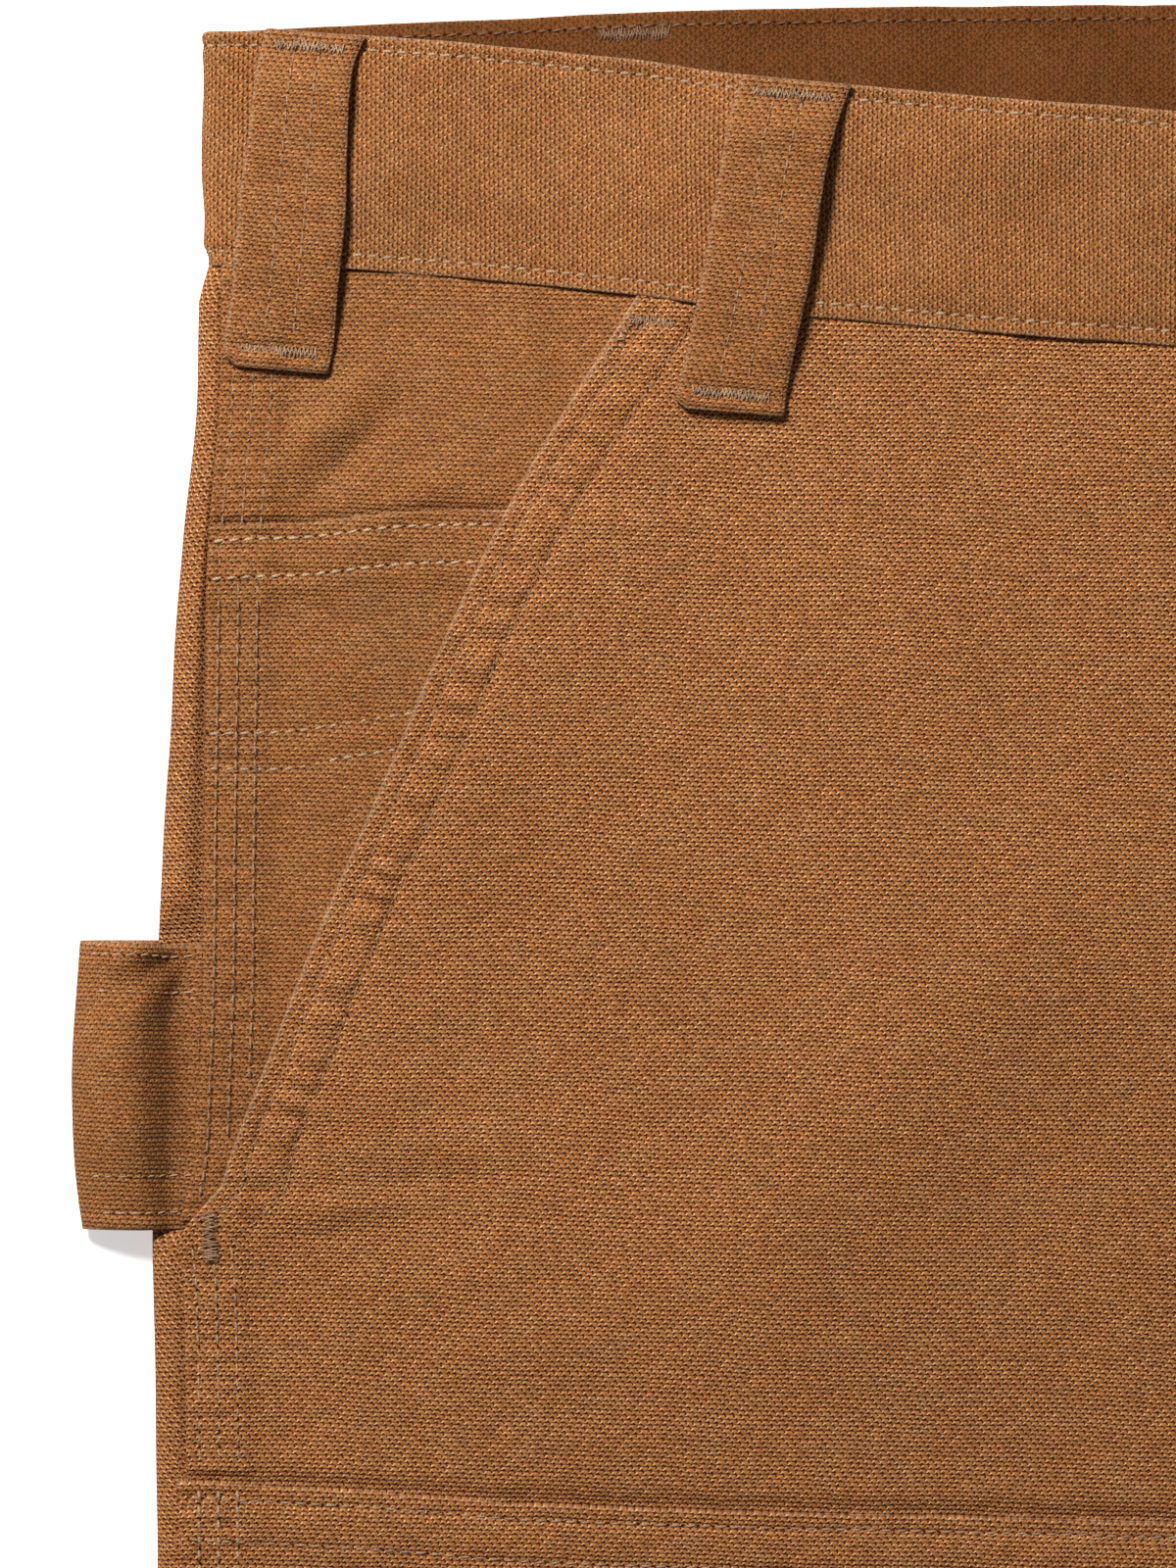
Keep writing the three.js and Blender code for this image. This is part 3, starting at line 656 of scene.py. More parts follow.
class Sewing:
    """The thread that shows on one piece, gathered row by row and then joined."""

    def __init__(self, name, seed):
        self.name, self.random = name, random.Random(seed)
        self.threads, self.dims, self.holes = [], [], []

    def thread(self, start, end, up, radius, raised, dim):
        along = end - start
        aside = up.cross(along).normalized() * radius
        height = along.cross(aside).normalized() * radius
        middle = (start + end) / 2 + height.normalized() * raised
        self.threads.append([tuple(along), tuple(aside), tuple(height), tuple(middle)])
        self.dims.append(dim)

    def row(self, path, up=UP, dim=0.15, pitch=PITCH, size=STITCH, hole_size=0.34):
        """One row of lockstitch, with a dark dimple of painted shade at the needle hole before each stitch.
        """
        for start, end in spaced(path, pitch, size[0]):
            look = up(start) if callable(up) else up
            skew = look.cross(end - start).normalized() * self.random.uniform(0.02, 0.2)
            dimmer = min(max(dim + self.random.uniform(-0.2, 0.2), 0), 2)
            self.thread(start - skew, end + skew, look, size[1], 0.16, dimmer)
            along = (end - start).normalized()
            spot = start - along * (pitch - size[0]) / 2 + skew
            axes = [along * hole_size * 1.15, look.cross(along) * hole_size * 0.8, look * 0.12, spot]
            self.holes.append([tuple(axis) for axis in axes])

    def bartack(self, start, end, up=UP, width=2.3, pitch=0.36, dim=0.85):
        """A bar of close zigzag threads."""
        along = end - start
        aside = up.cross(along).normalized()
        for n in range(int(along.length / pitch)):
            middle = start + along * ((n + 0.5) * pitch / along.length)
            middle = middle + aside * self.random.uniform(-0.4, 0.4) + up * self.random.uniform(0, 0.2)
            slant = along.normalized() * self.random.uniform(0.05, 0.55) * (1 if n % 2 else -1)
            half = aside * width / 2 * self.random.uniform(0.45, 1.1) + slant
            shade = dim + self.random.uniform(-0.5, 0.3)
            radius = self.random.uniform(0.14, 0.2)
            self.thread(middle - half, middle + half, up, radius, 0.2, min(max(shade, 0), 2))

    def finish(self):
        joined("stitching_" + self.name, stitch_shape(), self.threads, thread, self.dims)
        if self.holes:
            joined("needle_hole_shades_" + self.name, hole_shape(), self.holes, hole_shade)


# Back pockets, right and left: patches of the same canvas on the seat, their lower corners cut off.
# The top is hemmed with two rows of stitching, and two more hold the sides and bottom to the seat.

BACK_POCKET = {"inner": 38, "outer": 168, "top": 108, "bottom": 262, "corner": 18}
POCKET_ROWS = (2.2, 8.6)  # stitching in from the edge


def back_pocket_at(side, share_across, share_down):
    size = BACK_POCKET
    across = lerp(size["inner"], size["outer"], share_across)
    from_side = min(across - size["inner"], size["outer"] - across)
    bottom = size["bottom"] - max(0, size["corner"] - from_side)
    down = lerp(size["top"], bottom, share_down)
    edge = min(from_side, down - size["top"], bottom - down)
    return across, down, edge


for side, name in SIDES:
    rows = []
    shares = [0, 0.004, 0.01, 0.02, 0.04, *[i / 40 for i in range(3, 38)], 0.96, 0.98, 0.99, 0.996, 1]
    for t in shares:
        points, edges = [], []
        for s in shares:
            across, down, edge = back_pocket_at(side, s, t)
            z = 0.1 + 0.5 * bell(edge, 0.5) + 0.25 * grooves(edge, POCKET_ROWS, 0.6)
            points.append(place(side, across, down, z))
            edges.append(edge)
        rows.append(spots_along(points, edges))
    pocket = cloth_piece("cloth_back_pocket_" + name, rows, canvas, wall=0.7, looks_up=False)
    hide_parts("back_pocket_" + name)

    sewing = Sewing("back_pocket_" + name, 11 + side)
    size = BACK_POCKET
    for edge in POCKET_ROWS:
        corner = size["corner"] + 0.4 * edge
        near, far, low = size["inner"] + edge, size["outer"] - edge, size["bottom"] - edge
        outline = [(near, size["top"]), (near, low - corner), (near + corner, low)]
        outline += [(far - corner, low), (far, low - corner), (far, size["top"])]
        hem = size["top"] + edge + 1
        for corners in (outline, [(near, hem), (far, hem)]):
            sewing.row([place(side, across, down, 0.35) for across, down in corners], up=-UP)
    sewing.finish()


# Hip facings, right and left: canvas set behind the slanted pocket mouth, where the hand goes in.
# Their outer edge is turned and felled over the back panel with three rows of stitching.

FELL_ROWS = (2.5, 6.2, 9.8)  # stitching in from the felled edge
FELL_WIDTH = 9.8
FELL_RAMP = 4.0
FELL_PROUD = 0.9
FACING_UNDER = 14  # behind the front panel
FACING_END = 226
HIP_FOLLOWS = 130  # down, where rows on the hip stop following the band
HAMMER_TUCK = (168, 174, 225, 231)  # down, where the hammer loop lifts the felled edge
TUCK_PROUD = 0.8
POCKET_MOUTH = [
    (44, 129.5),
    (54.6, 136.3),
    (84.6, 154.9),
    (112.5, 168.9),
    (136.9, 179.3),
    (171.5, 194.4),
    (196, 204.0),
    (206, 208.0),
    (214, 210.9),
    (218.5, 212.4),
    (221.5, 214.9),
    (225, 217.9),
    (229, 220.2),
    (240, 223.0),
]
PUCKER = 7.4  # between puckers along a sewn edge
# Distances in from a sewn edge: close over the rows of stitching, wider past them
NEAR_EDGE = [1.0, 1.5, 2.0, 2.5, 3.0, 3.6, 4.3, 5.0, 5.6, 6.2, 6.8, 7.6, 8.6, 9.2, 9.8, 10.4, 11.0, 11.6, 13]
PAST_EDGE = [16, 20, 25, 30]

pocket_mouth = curve(POCKET_MOUTH)


def turned_edge(radius=TURN):
    """A turned edge as (in from the edge, height) pairs, from the turned part up to the face."""
    under = [(radius + 1.6, -2 * radius), (radius, -2 * radius)]
    angles = [math.radians(a) for a in (150, 120, 90, 60, 30, 0)]
    return under + [(radius * (1 - math.sin(a)), -radius * (1 - math.cos(a))) for a in angles]


def sewn_relief(from_edge, along, rows, seed, puff=0.3, groove_depth=0.6):
    """Height that stitching gives an edge: grooves under the rows, puffs between, puckers across."""
    if from_edge > rows[-1] + 6:
        return 0.0
    sewn = 1 - ease(from_edge, rows[-1] + 0.5, rows[-1] + 5)
    drift = 1.6 * noise.noise(Vector((along / 21, seed, 2.2)))
    ladder = math.sin(math.tau * (along / PUCKER + drift))
    ladder *= 0.75 + 0.7 * noise.noise(Vector((along / 13, seed, 8.1)))
    share = min(max((from_edge - rows[0]) / (rows[-1] - rows[0]), 0), 1)
    between = math.sin(share * math.pi) ** 0.7
    pucker = noise.noise(Vector((along / 3.1, from_edge / 5, seed)))
    pucker += 0.7 * noise.noise(Vector((along / 1.5, from_edge / 2.2, seed + 9)))
    swell = 0.2 + 0.28 * pucker + puff * (0.5 + 0.9 * ladder) * between
    return swell * sewn - groove_depth * grooves(from_edge, rows, 0.7)


def on_fell(from_seam):
    """1 on the felled side seam, 0 past it."""
    return 1 - ease(from_seam, FELL_WIDTH, FELL_WIDTH + FELL_RAMP)


def felled_relief(from_seam, down, side):
    """The side seam's three close rows pucker it at every second stitch."""
    relief = sewn_relief(from_seam, down, FELL_ROWS, 3.3 + side, puff=0.3, groove_depth=0.16)
    ripple = math.sin(math.tau * (down / 2.9 + 0.8 * noise.noise(Vector((down / 9, side, 0.4)))))
    return relief + 0.22 * ripple * on_fell(from_seam)


def seam_top(side, across, down, from_seam=None):
    """Height of the upper cloth with the felled side seam."""
    if from_seam is None:
        from_seam = seam_edge(down) - across
    tucked = (side < 0) * plateau(down, *HAMMER_TUCK)
    over_loop = TUCK_PROUD * tucked * (1 - ease(from_seam, 2, 9))
    relief = felled_relief(max(from_seam, 0), down, side)
    return plain_top(side, across, down) + FELL_PROUD * on_fell(from_seam) + over_loop + relief


def hip_down(row, across):
    """Rows near the waist follow the lower edge of the band."""
    return row + front_waist(across) * (1 - ease(row, BAND_HEIGHT, HIP_FOLLOWS))


def under_band(row):
    """How much lower the panels lie where they go up under the band."""
    return 0.45 * (1 - ease(row, BAND_HEIGHT - 1, BAND_HEIGHT + 0.6))


FACING_FOLDS = [
    Fold(209, 92, 176, 57, 3.6, 1.6),
    Fold(203, 97, 172, 64, 2.4, -1.4),
    Fold(196, 103, 160, 78, 4.0, 1.0),
    Fold(157, 46, 139, 72, 2.4, -1.5),
    Fold(161, 50, 146, 76, 2.4, 1.0),
    Fold(214, 78, 176, 74, 2.6, 0.5),
    Fold(216, 112, 176, 107, 2.4, -0.4),
    Fold(214, 124, 168, 121, 3.4, 0.35),
    Fold(214, 150, 184, 154, 4.0, -0.4),
    Fold(214, 176, 196, 171, 3.4, 0.35),
]
COIN_DIP = 1.3  # of the facing along the coin pocket's upper edge


def facing_top(side, across, down, from_seam):
    return seam_top(side, across, down, from_seam) + folded(FACING_FOLDS, across, down)


def facing_at(side, row, from_seam, drop=0.0):
    """A point of the hip facing, a distance in from its felled edge."""
    across = seam_edge(row) - from_seam
    down = hip_down(row, across)
    z = facing_top(side, across, down, from_seam) - under_band(row)
    if side < 0:
        above = COIN_TOP(across) - down
        z -= COIN_DIP * (0.7 * bell(above, 0.8) + 0.4 * bell(above, 2.4))
    return place(side, across, down, z + drop)


def opening(row):
    """Width of the pocket's opening, from the side seam to the mouth."""
    return seam_edge(row) - pocket_mouth(row)


def spread(near, width, even):
    """Distances in from an edge: the near ones that fit, then even steps up to the width."""
    fitting = [e for e in near if e < width - 1]
    count = len(near) - len(fitting) + even
    return fitting + [lerp(fitting[-1], width, s) for s in steps(count, 1)]


def facing_row(side, row):
    distances = spread(NEAR_EDGE, opening(row) + FACING_UNDER, 34)
    profile = turned_edge() + [(e, 0) for e in distances]
    points = [facing_at(side, row, e, z) for e, z in profile]
    return spots_along(points, [FAR] * len(points))


FACING_ROWS = [row for row in FINE_ROWS if row < FACING_END]
# The upper edge of the coin pocket that lies on the right facing, across and down
COIN_TOP = curve([(158.5, 90.7), (178, 91.1), (196.3, 93.1), (203.5, 93.3), (214.4, 93.9)])

for side, name in SIDES:
    rows = [facing_row(side, row) for row in FACING_ROWS]
    facing = cloth_piece("cloth_hip_facing_" + name, rows, handled_canvas)
    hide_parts("hip_facing_" + name)


# Coin pocket: a small layer of canvas on the right hip facing, caught in the side seam.
# Its top edge is hemmed with two rows, and two lower rows close the pocket under it.

COIN_LOW = curve([(170, 128.6), (178, 129.4), (190.2, 131.3), (199.3, 132.6), (214.4, 133.0)])
COIN_LAST = curve([(174, 135.4), (179.8, 136.1), (190.2, 137.8), (199.3, 139.6), (215, 139.6)])
COIN_CLOSED = (COIN_LOW, COIN_LAST)
COIN_LEVEL = 93  # of its upper edge
COIN_HEM_ROWS = (2.8, 9.9)
COIN_PROUD = 0.95  # over the facing
COIN_HEM = 0.8  # what the doubled hem adds
COIN_TURN = 0.4  # radius of its turned edge
COIN_UNDER = 6  # behind the front panel


def coin_proud(down):
    """How far the pocket stands over the facing. Its lower end lies under the front panel."""
    return COIN_PROUD * (1 - ease(down, 186, 212)) + 0.05


def coin_at(row, from_seam, from_top, drop=0.0):
    """A point of the coin pocket: from_top is down from its hemmed edge."""
    across = seam_edge(row) - from_seam
    down = COIN_TOP(across) + from_top
    hem = sewn_relief(max(from_top, 0), across, COIN_HEM_ROWS, 8.8, puff=0.15, groove_depth=0.22)
    closing_rows = sum(bell(down - low(across), 0.6) for low in COIN_CLOSED)
    rolled = 0.9 * bell(from_seam, 0.5)
    hemmed = COIN_HEM * (1 - ease(from_top, 12.6, 14.4))
    z = facing_top(-1, across, down, from_seam) + coin_proud(down) + hemmed + hem
    return place(-1, across, down, z - 0.45 * closing_rows - rolled + drop)


def coin_row(from_top, drop):
    row = COIN_LEVEL + from_top
    distances = spread([0.15, 0.5, *NEAR_EDGE], opening(row) + COIN_UNDER, 14)
    points = [coin_at(row, e, from_top, drop) for e in distances]
    # Its hemmed top edge is painted pale: wear, and a painted highlight on the turned edge
    return spots_along(points, [max(from_top, 0) + 0.4] * len(points))


coin_rows = turned_edge(COIN_TURN) + [(e, 0) for e in NEAR_EDGE + PAST_EDGE]
coin_rows += [(32 + 1.2 * i, 0) for i in range(80)]
coin = cloth_piece("cloth_coin_pocket", [coin_row(*row) for row in coin_rows], handled_canvas, wall=0.3)
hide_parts("coin_pocket")


def on_coin(across, down):
    return (coin_proud(down) + COIN_HEM) * ease(down, COIN_TOP(across), COIN_TOP(across) + 0.4)


# Side seam rows on the facings, down to where the front panel covers them
for side, name in SIDES:
    sewing = Sewing("hip_facing_" + name, 20 + side)
    for from_seam in FELL_ROWS:
        path = []
        for row in [BAND_HEIGHT + 1.5 * i for i in range(130)]:
            point = facing_at(side, row, from_seam)
            if abs(point.x) < pocket_mouth(WAIST_Y - point.y) + 1:
                break
            if side < 0:
                point.z += on_coin(abs(point.x), WAIST_Y - point.y)
            path.append(point)
        sewing.row(path, dim=0.75, size=(2.1, 0.2), hole_size=0.22)
    if side < 0:
        for from_top in COIN_HEM_ROWS:
            row = COIN_LEVEL + from_top
            path = [coin_at(row, e, from_top) for e in np.arange(1, opening(row) + 7, 1.5)]
            sewing.row(path, dim=0.15)
        for low in COIN_CLOSED:
            row = low(195)
            path = []
            for e in np.arange(1, opening(row) + 7, 1.5):
                across = seam_edge(row) - e
                path.append(coin_at(row, e, low(across) - COIN_TOP(across)))
            sewing.row(path, dim=0.4)
    sewing.finish()


# Front panels, right and left: canvas from the slanted pocket mouth, or the side seam below it,
# to the inner leg and the fly, where the left laps over the right. The mouth is turned, sewn
# with two rows and barred at both ends.

MOUTH_ROWS = (3.7, 11.0)
MOUTH_FADE = (12, 40)  # from the mouth, to where the panel lies down
MOUTH_END = (222, 240)  # down, where the mouth joins the side seam
MOUTH_PROUD = 1.6  # over the facing
MOUTH_OVER_COIN = 0.8
MOUTH_PUFF = (0.6, 0.85)  # near the band, and towards the lower end
MOUTH_GROOVE = 0.4
MOUTH_FLATTENS = (212, 231)  # down, where its relief ends
OVER_COIN_DOWN = (84, 92, 202, 214)
MOUTH_SLANT = Vector((0.48, 1.11))  # across and along the mouth, for each millimetre down
HIP_FOLDS = {
    -1: [
        Fold(156, 286, 22, 128, 20, 2.7),
        Fold(86, 40, 82, 230, 30, 1.7),
        Fold(203, 214, 146, 208.5, 4.6, 1.0),
        Fold(205, 221, 146, 214.5, 2.0, -0.4),
        Fold(206, 226.5, 170, 217.5, 2.8, 0.7),
        Fold(208, 232, 168, 222, 1.9, -0.35),
        Fold(190, 206, 168, 198, 7, 1.1),
        Fold(186, 194, 152, 172, 3.4, 0.5),
        Fold(204, 240, 140, 232, 5, 0.5),
        Fold(190, 262, 118, 238, 8, 0.9),
        Fold(176, 276, 130, 262, 9, 0.7),
        Fold(103, 52, 88, 78, 2.6, -0.5),
        Fold(97, 50, 78, 74, 3.5, 0.4),
        Fold(130.5, 58, 126.5, 74, 1.8, -0.9),
        Fold(128, 74.5, 104, 76.4, 1.7, -0.9),
        Fold(142, 60, 128, 88, 3.0, 0.35),
    ],
    1: [
        Fold(158, 270, 40, 150, 22, 2.4),
        Fold(112, 128, 48, 84, 24, 1.0),
        Fold(203, 221, 158, 228, 2.8, -0.6),
        Fold(204, 230, 160, 244, 4, 0.6),
        Fold(130.5, 58, 126.5, 74, 1.8, -0.8),
        Fold(128, 74.5, 104, 76.4, 1.7, -0.8),
        Fold(80, 170, 30, 226, 12, 0.9),
    ],
}
FLY_END = 190
FLY_CURVE = 13
FLY_LAP = {-1: 6, 1: 8}
FLY_DROP = 1.8
LAP_ACROSS = (12, 26)  # where the right front, lower under the left one, is level again
LAP_DOWN = (206, 225)
FLY_STITCH = (34, 28)  # across, the two curved rows on the left front
FLY_TURNS = FLY_END - 22  # down, where they start to curve in
HIP_TO_LEG = (222, 300)  # down, where the front's rows of points change over
BESIDE_FLY = 40
TO_FLY = 0.7  # share of a row's points that lie between the pocket mouth and there
HEM_SEWN = 12
PATCH_TOP = curve([(0, 283.0), (45, 281.7), (150, 278.9), (180, 276.7), (222, 274.2)])
PATCH_DIP = 1.0  # of the front along the knee patch's upper edge


@lru_cache(maxsize=None)
def front_edge(row):
    """Outer edge of the front: the pocket mouth, then the side seam."""
    if row >= MOUTH_END[1]:
        return seam_edge(row)
    down = row
    for _ in range(3):
        down = hip_down(row, pocket_mouth(down))
    return min(pocket_mouth(down), seam_edge(row))


@lru_cache(maxsize=None)
def slant(row):
    """Distance across for each millimetre square to the edge."""
    reach = 7
    return math.hypot(1, (front_edge(row + reach) - front_edge(row - reach)) / (2 * reach))


def front_inner(side, row):
    return lerp(-FLY_LAP[side], inner_edge(row), ease(row, FLY_END, FLY_END + FLY_CURVE))


def front_z(side, row, across, down, from_edge):
    """Height of the front panel's face."""
    on_seam = ease(row, *MOUTH_END)
    mouth = 1 - on_seam
    felled = FELL_PROUD * on_fell(seam_edge(down) - across)
    over_coin = (side < 0) * plateau(row, *OVER_COIN_DOWN)
    # The pocket mouth stands over the facing, more over the coin pocket and less near the band
    near_band = lerp(0.5, 1.0, ease(row, BAND_HEIGHT, BAND_HEIGHT + 16))
    proud = (MOUTH_PROUD + MOUTH_OVER_COIN * over_coin) * near_band
    proud *= mouth * (1 - ease(from_edge, *MOUTH_FADE))
    along = MOUTH_SLANT.y * row - MOUTH_SLANT.x * from_edge
    puff = lerp(*MOUTH_PUFF, ease(row, 100, 180))
    relief = sewn_relief(from_edge, along, MOUTH_ROWS, 5.1 + side, puff, MOUTH_GROOVE)
    relief *= 1 - ease(row, *MOUTH_FLATTENS)
    relief += on_seam * felled_relief(from_edge, row, side)
    in_lap = (1 - ease(across, *LAP_ACROSS)) * (1 - ease(down, *LAP_DOWN))
    lap = FLY_DROP * in_lap * (side < 0)
    # Broad soft waves, and the folds that HIP_FOLDS lists
    soft = 0.6 * noise.noise(Vector((across / 40, down / 52, side * 2.7))) * ease(from_edge, 12, 50)
    soft += folded(HIP_FOLDS[side], across, down) * ease(from_edge, 9, 18)
    return plain_top(side, across, down) + felled + proud + relief - lap + soft - under_band(row)


def front_point(side, row, across, from_edge):
    down = hip_down(row, abs(across))
    dip = PATCH_DIP * bell(down - PATCH_TOP(across), 2.2)
    return place(side, across, down, front_z(side, row, across, down, from_edge) - dip)


def front_at(side, row, from_edge, drop=0.0):
    """A point of the front panel near its outer edge, a distance square to that edge."""
    point = front_point(side, row, front_edge(row) - from_edge * slant(row), from_edge)
    return point + UP * drop


def front_inside(side, row, across):
    """A point of the front panel by its distance from the centre line."""
    return front_point(side, row, across, (front_edge(row) - across) / slant(row))


def front_row(side, row):
    profile = turned_edge() + [(e, 0) for e in NEAR_EDGE + PAST_EDGE]
    points = [front_at(side, row, e, z) for e, z in profile]
    sewn_down = 40 * ease(row, 222, 232)  # below the pocket mouth the edge is not painted pale
    edges = [e + sewn_down if z > -TURN * 1.5 else FAR for e, z in profile]
    last = front_edge(row) - PAST_EDGE[-1] * slant(row)
    start, turned = inner_turn(row, front_inner(side, row))
    on_leg = ease(row, *HIP_TO_LEG)
    for s in steps(30, 1):
        hip = lerp(last, BESIDE_FLY, s / TO_FLY)
        if s >= TO_FLY:
            hip = lerp(BESIDE_FLY, start, (s - TO_FLY) / (1 - TO_FLY))
        across = lerp(hip, lerp(last, start, s), on_leg)
        points.append(front_inside(side, row, across))
        edges.append(FAR)
    for across, drop in turned:
        point = front_inside(side, row, lerp(start, across, 1 - closing(row)))
        down = hip_down(row, abs(across))
        points.append(place(side, across, down, point.z - drop))
        edges.append(FAR if closing(row) > 0 or row > FLY_END else abs(across + FLY_LAP[side]))
    return spots_along(points, edges)


FRONT_ROWS = [*FINE_ROWS, *LONG_ROWS]

for side, name in SIDES:
    front = cloth_piece("cloth_front_" + name, [front_row(side, row) for row in FRONT_ROWS], canvas)
    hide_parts("front_" + name)

    sewing = Sewing("front_" + name, 30 + side)
    for from_edge in MOUTH_ROWS:
        path = [front_at(side, row, from_edge) for row in np.arange(BAND_HEIGHT, 229, 1.5)]
        sewing.row(path, dim=0.95, size=(1.9, 0.18))
    for from_seam in FELL_ROWS:
        path = [front_at(side, row, from_seam) for row in FRONT_ROWS if 230 < row < 272]
        sewing.row(path, dim=0.55, size=(2.1, 0.22), hole_size=0.34)
        path = [front_at(side, row, from_seam) for row in FRONT_ROWS if row > 783]
        sewing.row(path, dim=0.4)
    sewing.bartack(*[front_at(side, BAND_HEIGHT + 4.6, e) for e in (1.0, 8.4)], width=2.6)
    sewing.bartack(*[front_at(side, BAND_HEIGHT + e, 1.7) for e in (4, 15)], width=1.7, pitch=0.8)
    seam_bar = [front_inside(side, row, 214.4) + UP * 0.5 for row in (223.5, 232.8)]
    sewing.bartack(*seam_bar, width=3.7, pitch=0.34, dim=0.95)
    if side > 0:
        for across in FLY_STITCH:
            path = [front_inside(side, row, across) for row in np.arange(BAND_HEIGHT, FLY_TURNS, 2)]
            for a in range(0, 95, 5):
                turn = math.radians(a)
                down = FLY_TURNS + (across - 6) * math.sin(turn)
                path.append(front_inside(side, down, 3 + (across - 3) * math.cos(turn)))
            sewing.row(path)
    sewing.row([front_inside(side, HEM - HEM_SEWN, across) for across in np.arange(55, 240, 3)])
    sewing.finish()


# Knee patches, right and left: a second layer of canvas on the front of each leg.
# The edges are turned, with two rows along the top and the bottom, and the side seam's three
# rows go through both layers.

PATCH_LEVEL = 276  # down, of its top edge near the side seam
PATCH_BOTTOM = 780
PATCH_PROUD = 1.35
PATCH_OVER = 1.3  # past the front's edge, at the side seam
PATCH_SEWN = (3.0, 10.9)


def patch_edge(down):
    return front_edge(down) + PATCH_OVER


def patch_at(side, down, from_edge, from_top, drop=0.0, across=None):
    """A point of the knee patch, in from its outer edge and down from its top."""
    if across is None:
        across = patch_edge(down) - from_edge
    from_bottom = PATCH_BOTTOM - down
    in_from = min(max(from_top, 0), max(from_bottom, 0))
    hem = sewn_relief(in_from, across, PATCH_SEWN, 6.6 + side, puff=0.5, groove_depth=0.3)
    hem += 0.5 * (1 - ease(in_from, 12, 15))
    base = front_z(side, down, across, down, max(from_edge - PATCH_OVER, 0))
    return place(side, across, down, base + PATCH_PROUD + hem + drop)


def patch_row(side, from_top, drop):
    level = PATCH_LEVEL + from_top
    side_edge = patch_edge(level)
    points = []
    for e, z in turned_edge() + [(e, 0) for e in NEAR_EDGE + PAST_EDGE]:
        down = PATCH_TOP(side_edge - e) + from_top
        points.append(patch_at(side, down, e, from_top, drop + z))
    start, _ = inner_turn(level, front_inner(side, level))
    for s in steps(70, 1):
        across = lerp(side_edge - PAST_EDGE[-1], start + 0.5, s)
        down = PATCH_TOP(across) + from_top
        points.append(patch_at(side, down, side_edge - across, from_top, drop, across))
    # Its top edge is painted pale: wear, and a painted highlight on the turned edge
    return spots_along(points, [max(from_top, 0) + 0.45] * len(points))


PATCH_LENGTH = PATCH_BOTTOM - PATCH_TOP(0)
patch_rows = turned_edge() + [(e, 0) for e in NEAR_EDGE]
patch_rows += [(16 + 3 * i, 0) for i in range(8)] + [(44 + 9 * i, 0) for i in range(49)]
patch_rows += [(PATCH_LENGTH - e, 0) for e in (11.5, 10.9, 10.2, 8, 5, 3.6, 3.0, 2.4, 1.2)]
patch_rows += [(PATCH_LENGTH - e, z) for e, z in reversed(turned_edge()[2:])]

for side, name in SIDES:
    rows = [patch_row(side, from_top, drop) for from_top, drop in patch_rows]
    patch = cloth_piece("cloth_knee_patch_" + name, rows, canvas)
    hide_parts("knee_patch_" + name)

    sewing = Sewing("knee_patch_" + name, 40 + side)
    for sewn in PATCH_SEWN:
        for at_top in (True, False):
            path = []
            for across in np.arange(218, 12, -2.5):
                from_top = sewn if at_top else PATCH_LENGTH - sewn
                down = PATCH_TOP(across) + from_top
                edge = patch_edge(down) - across
                if edge > 1 and across > inner_edge(down) + 8:
                    path.append(patch_at(side, down, edge, from_top, 0, across))
            sewing.row(path, dim=0.7, size=(2.1, 0.24))
    for from_seam in FELL_ROWS:
        path = []
        for from_top in [1.5 + 2.5 * i for i in range(196)]:
            down = PATCH_TOP(218) + from_top
            path.append(patch_at(side, down, from_seam + PATCH_OVER, from_top))
        sewing.row(path, dim=0.45)
    sewing.finish()


# Waistband: one strip of canvas, doubled over interlining, its weave turned a quarter round.
# It runs from its under end at the fly, round the back, to its upper end, with a row of
# stitching along each edge. The inside of its back half shows over the front.

BAND_TURN = 1.0  # radius of the fold along the top
BAND_OVER_TABLE = 1.6
BAND_PROUD = 1.0
BAND_MIDDLE = 20
BAND_LAP = {"left": 8, "right": 32, "drop": 2.8}
BAND_LAP_SLOPE = (-34, -14)  # across, where the under end comes up from behind the upper one
BAND_OVER_POCKET = (86, 108, 133, 142)  # across, where the pocket's layers lift it
BAND_ROWS = (2.8, BAND_HEIGHT - 2.8)
INSIDE_BAR = 4.2  # down, the bars of the back loops on the inside
BACK_LOOPS = {-134: "right", 0: "centre", 134: "left"}

Station = namedtuple("Station", "x z normal top run")


def band_top(across):
    return fold_height(BAND_MIDDLE) + BAND_PROUD + rise(BAND_MIDDLE) * ease(HALF_WAIST - across, *RISE)


def band_stations():
    """Places along the band: x, z, the outward normal, the depth of its top edge and the run."""
    radius = (fold_height(BAND_MIDDLE) + BAND_PROUD - BAND_OVER_TABLE) / 2
    reach = HALF_WAIST - radius
    found = []

    def add(x, z, normal, top):
        run = 0.0
        if found:
            run = found[-1].run + math.hypot(x - found[-1].x, z - found[-1].z)
        found.append(Station(x, z, normal, top, run))

    def front_part(start, end, lapped):
        count = int(abs(end - start) / 2.4)
        for s in steps(count):
            x = lerp(start, end, s)
            drop = BAND_LAP["drop"] * ease(x, *BAND_LAP_SLOPE) if lapped else 0
            add(x, band_top(abs(x)) - drop, UP, front_waist(abs(x)))

    def fold_part(side, first, last):
        for f in steps(12)[1:-1]:
            angle = lerp(first, last, f) * math.pi
            normal = Vector((side * math.sin(angle), 0, math.cos(angle)))
            top = lerp(front_waist(HALF_WAIST), back_waist(HALF_WAIST), (1 - math.cos(angle)) / 2)
            z = BAND_OVER_TABLE + radius * (1 + math.cos(angle))
            add(side * (reach + radius * math.sin(angle)), z, normal, top)

    front_part(BAND_LAP["right"], -reach, True)
    fold_part(-1, 0, 1)
    for s in steps(160):
        x = lerp(-reach, reach, s)
        add(x, BAND_OVER_TABLE, -UP, back_waist(abs(x)))
    fold_part(1, 1, 0)
    front_part(reach, -BAND_LAP["left"], False)
    return found


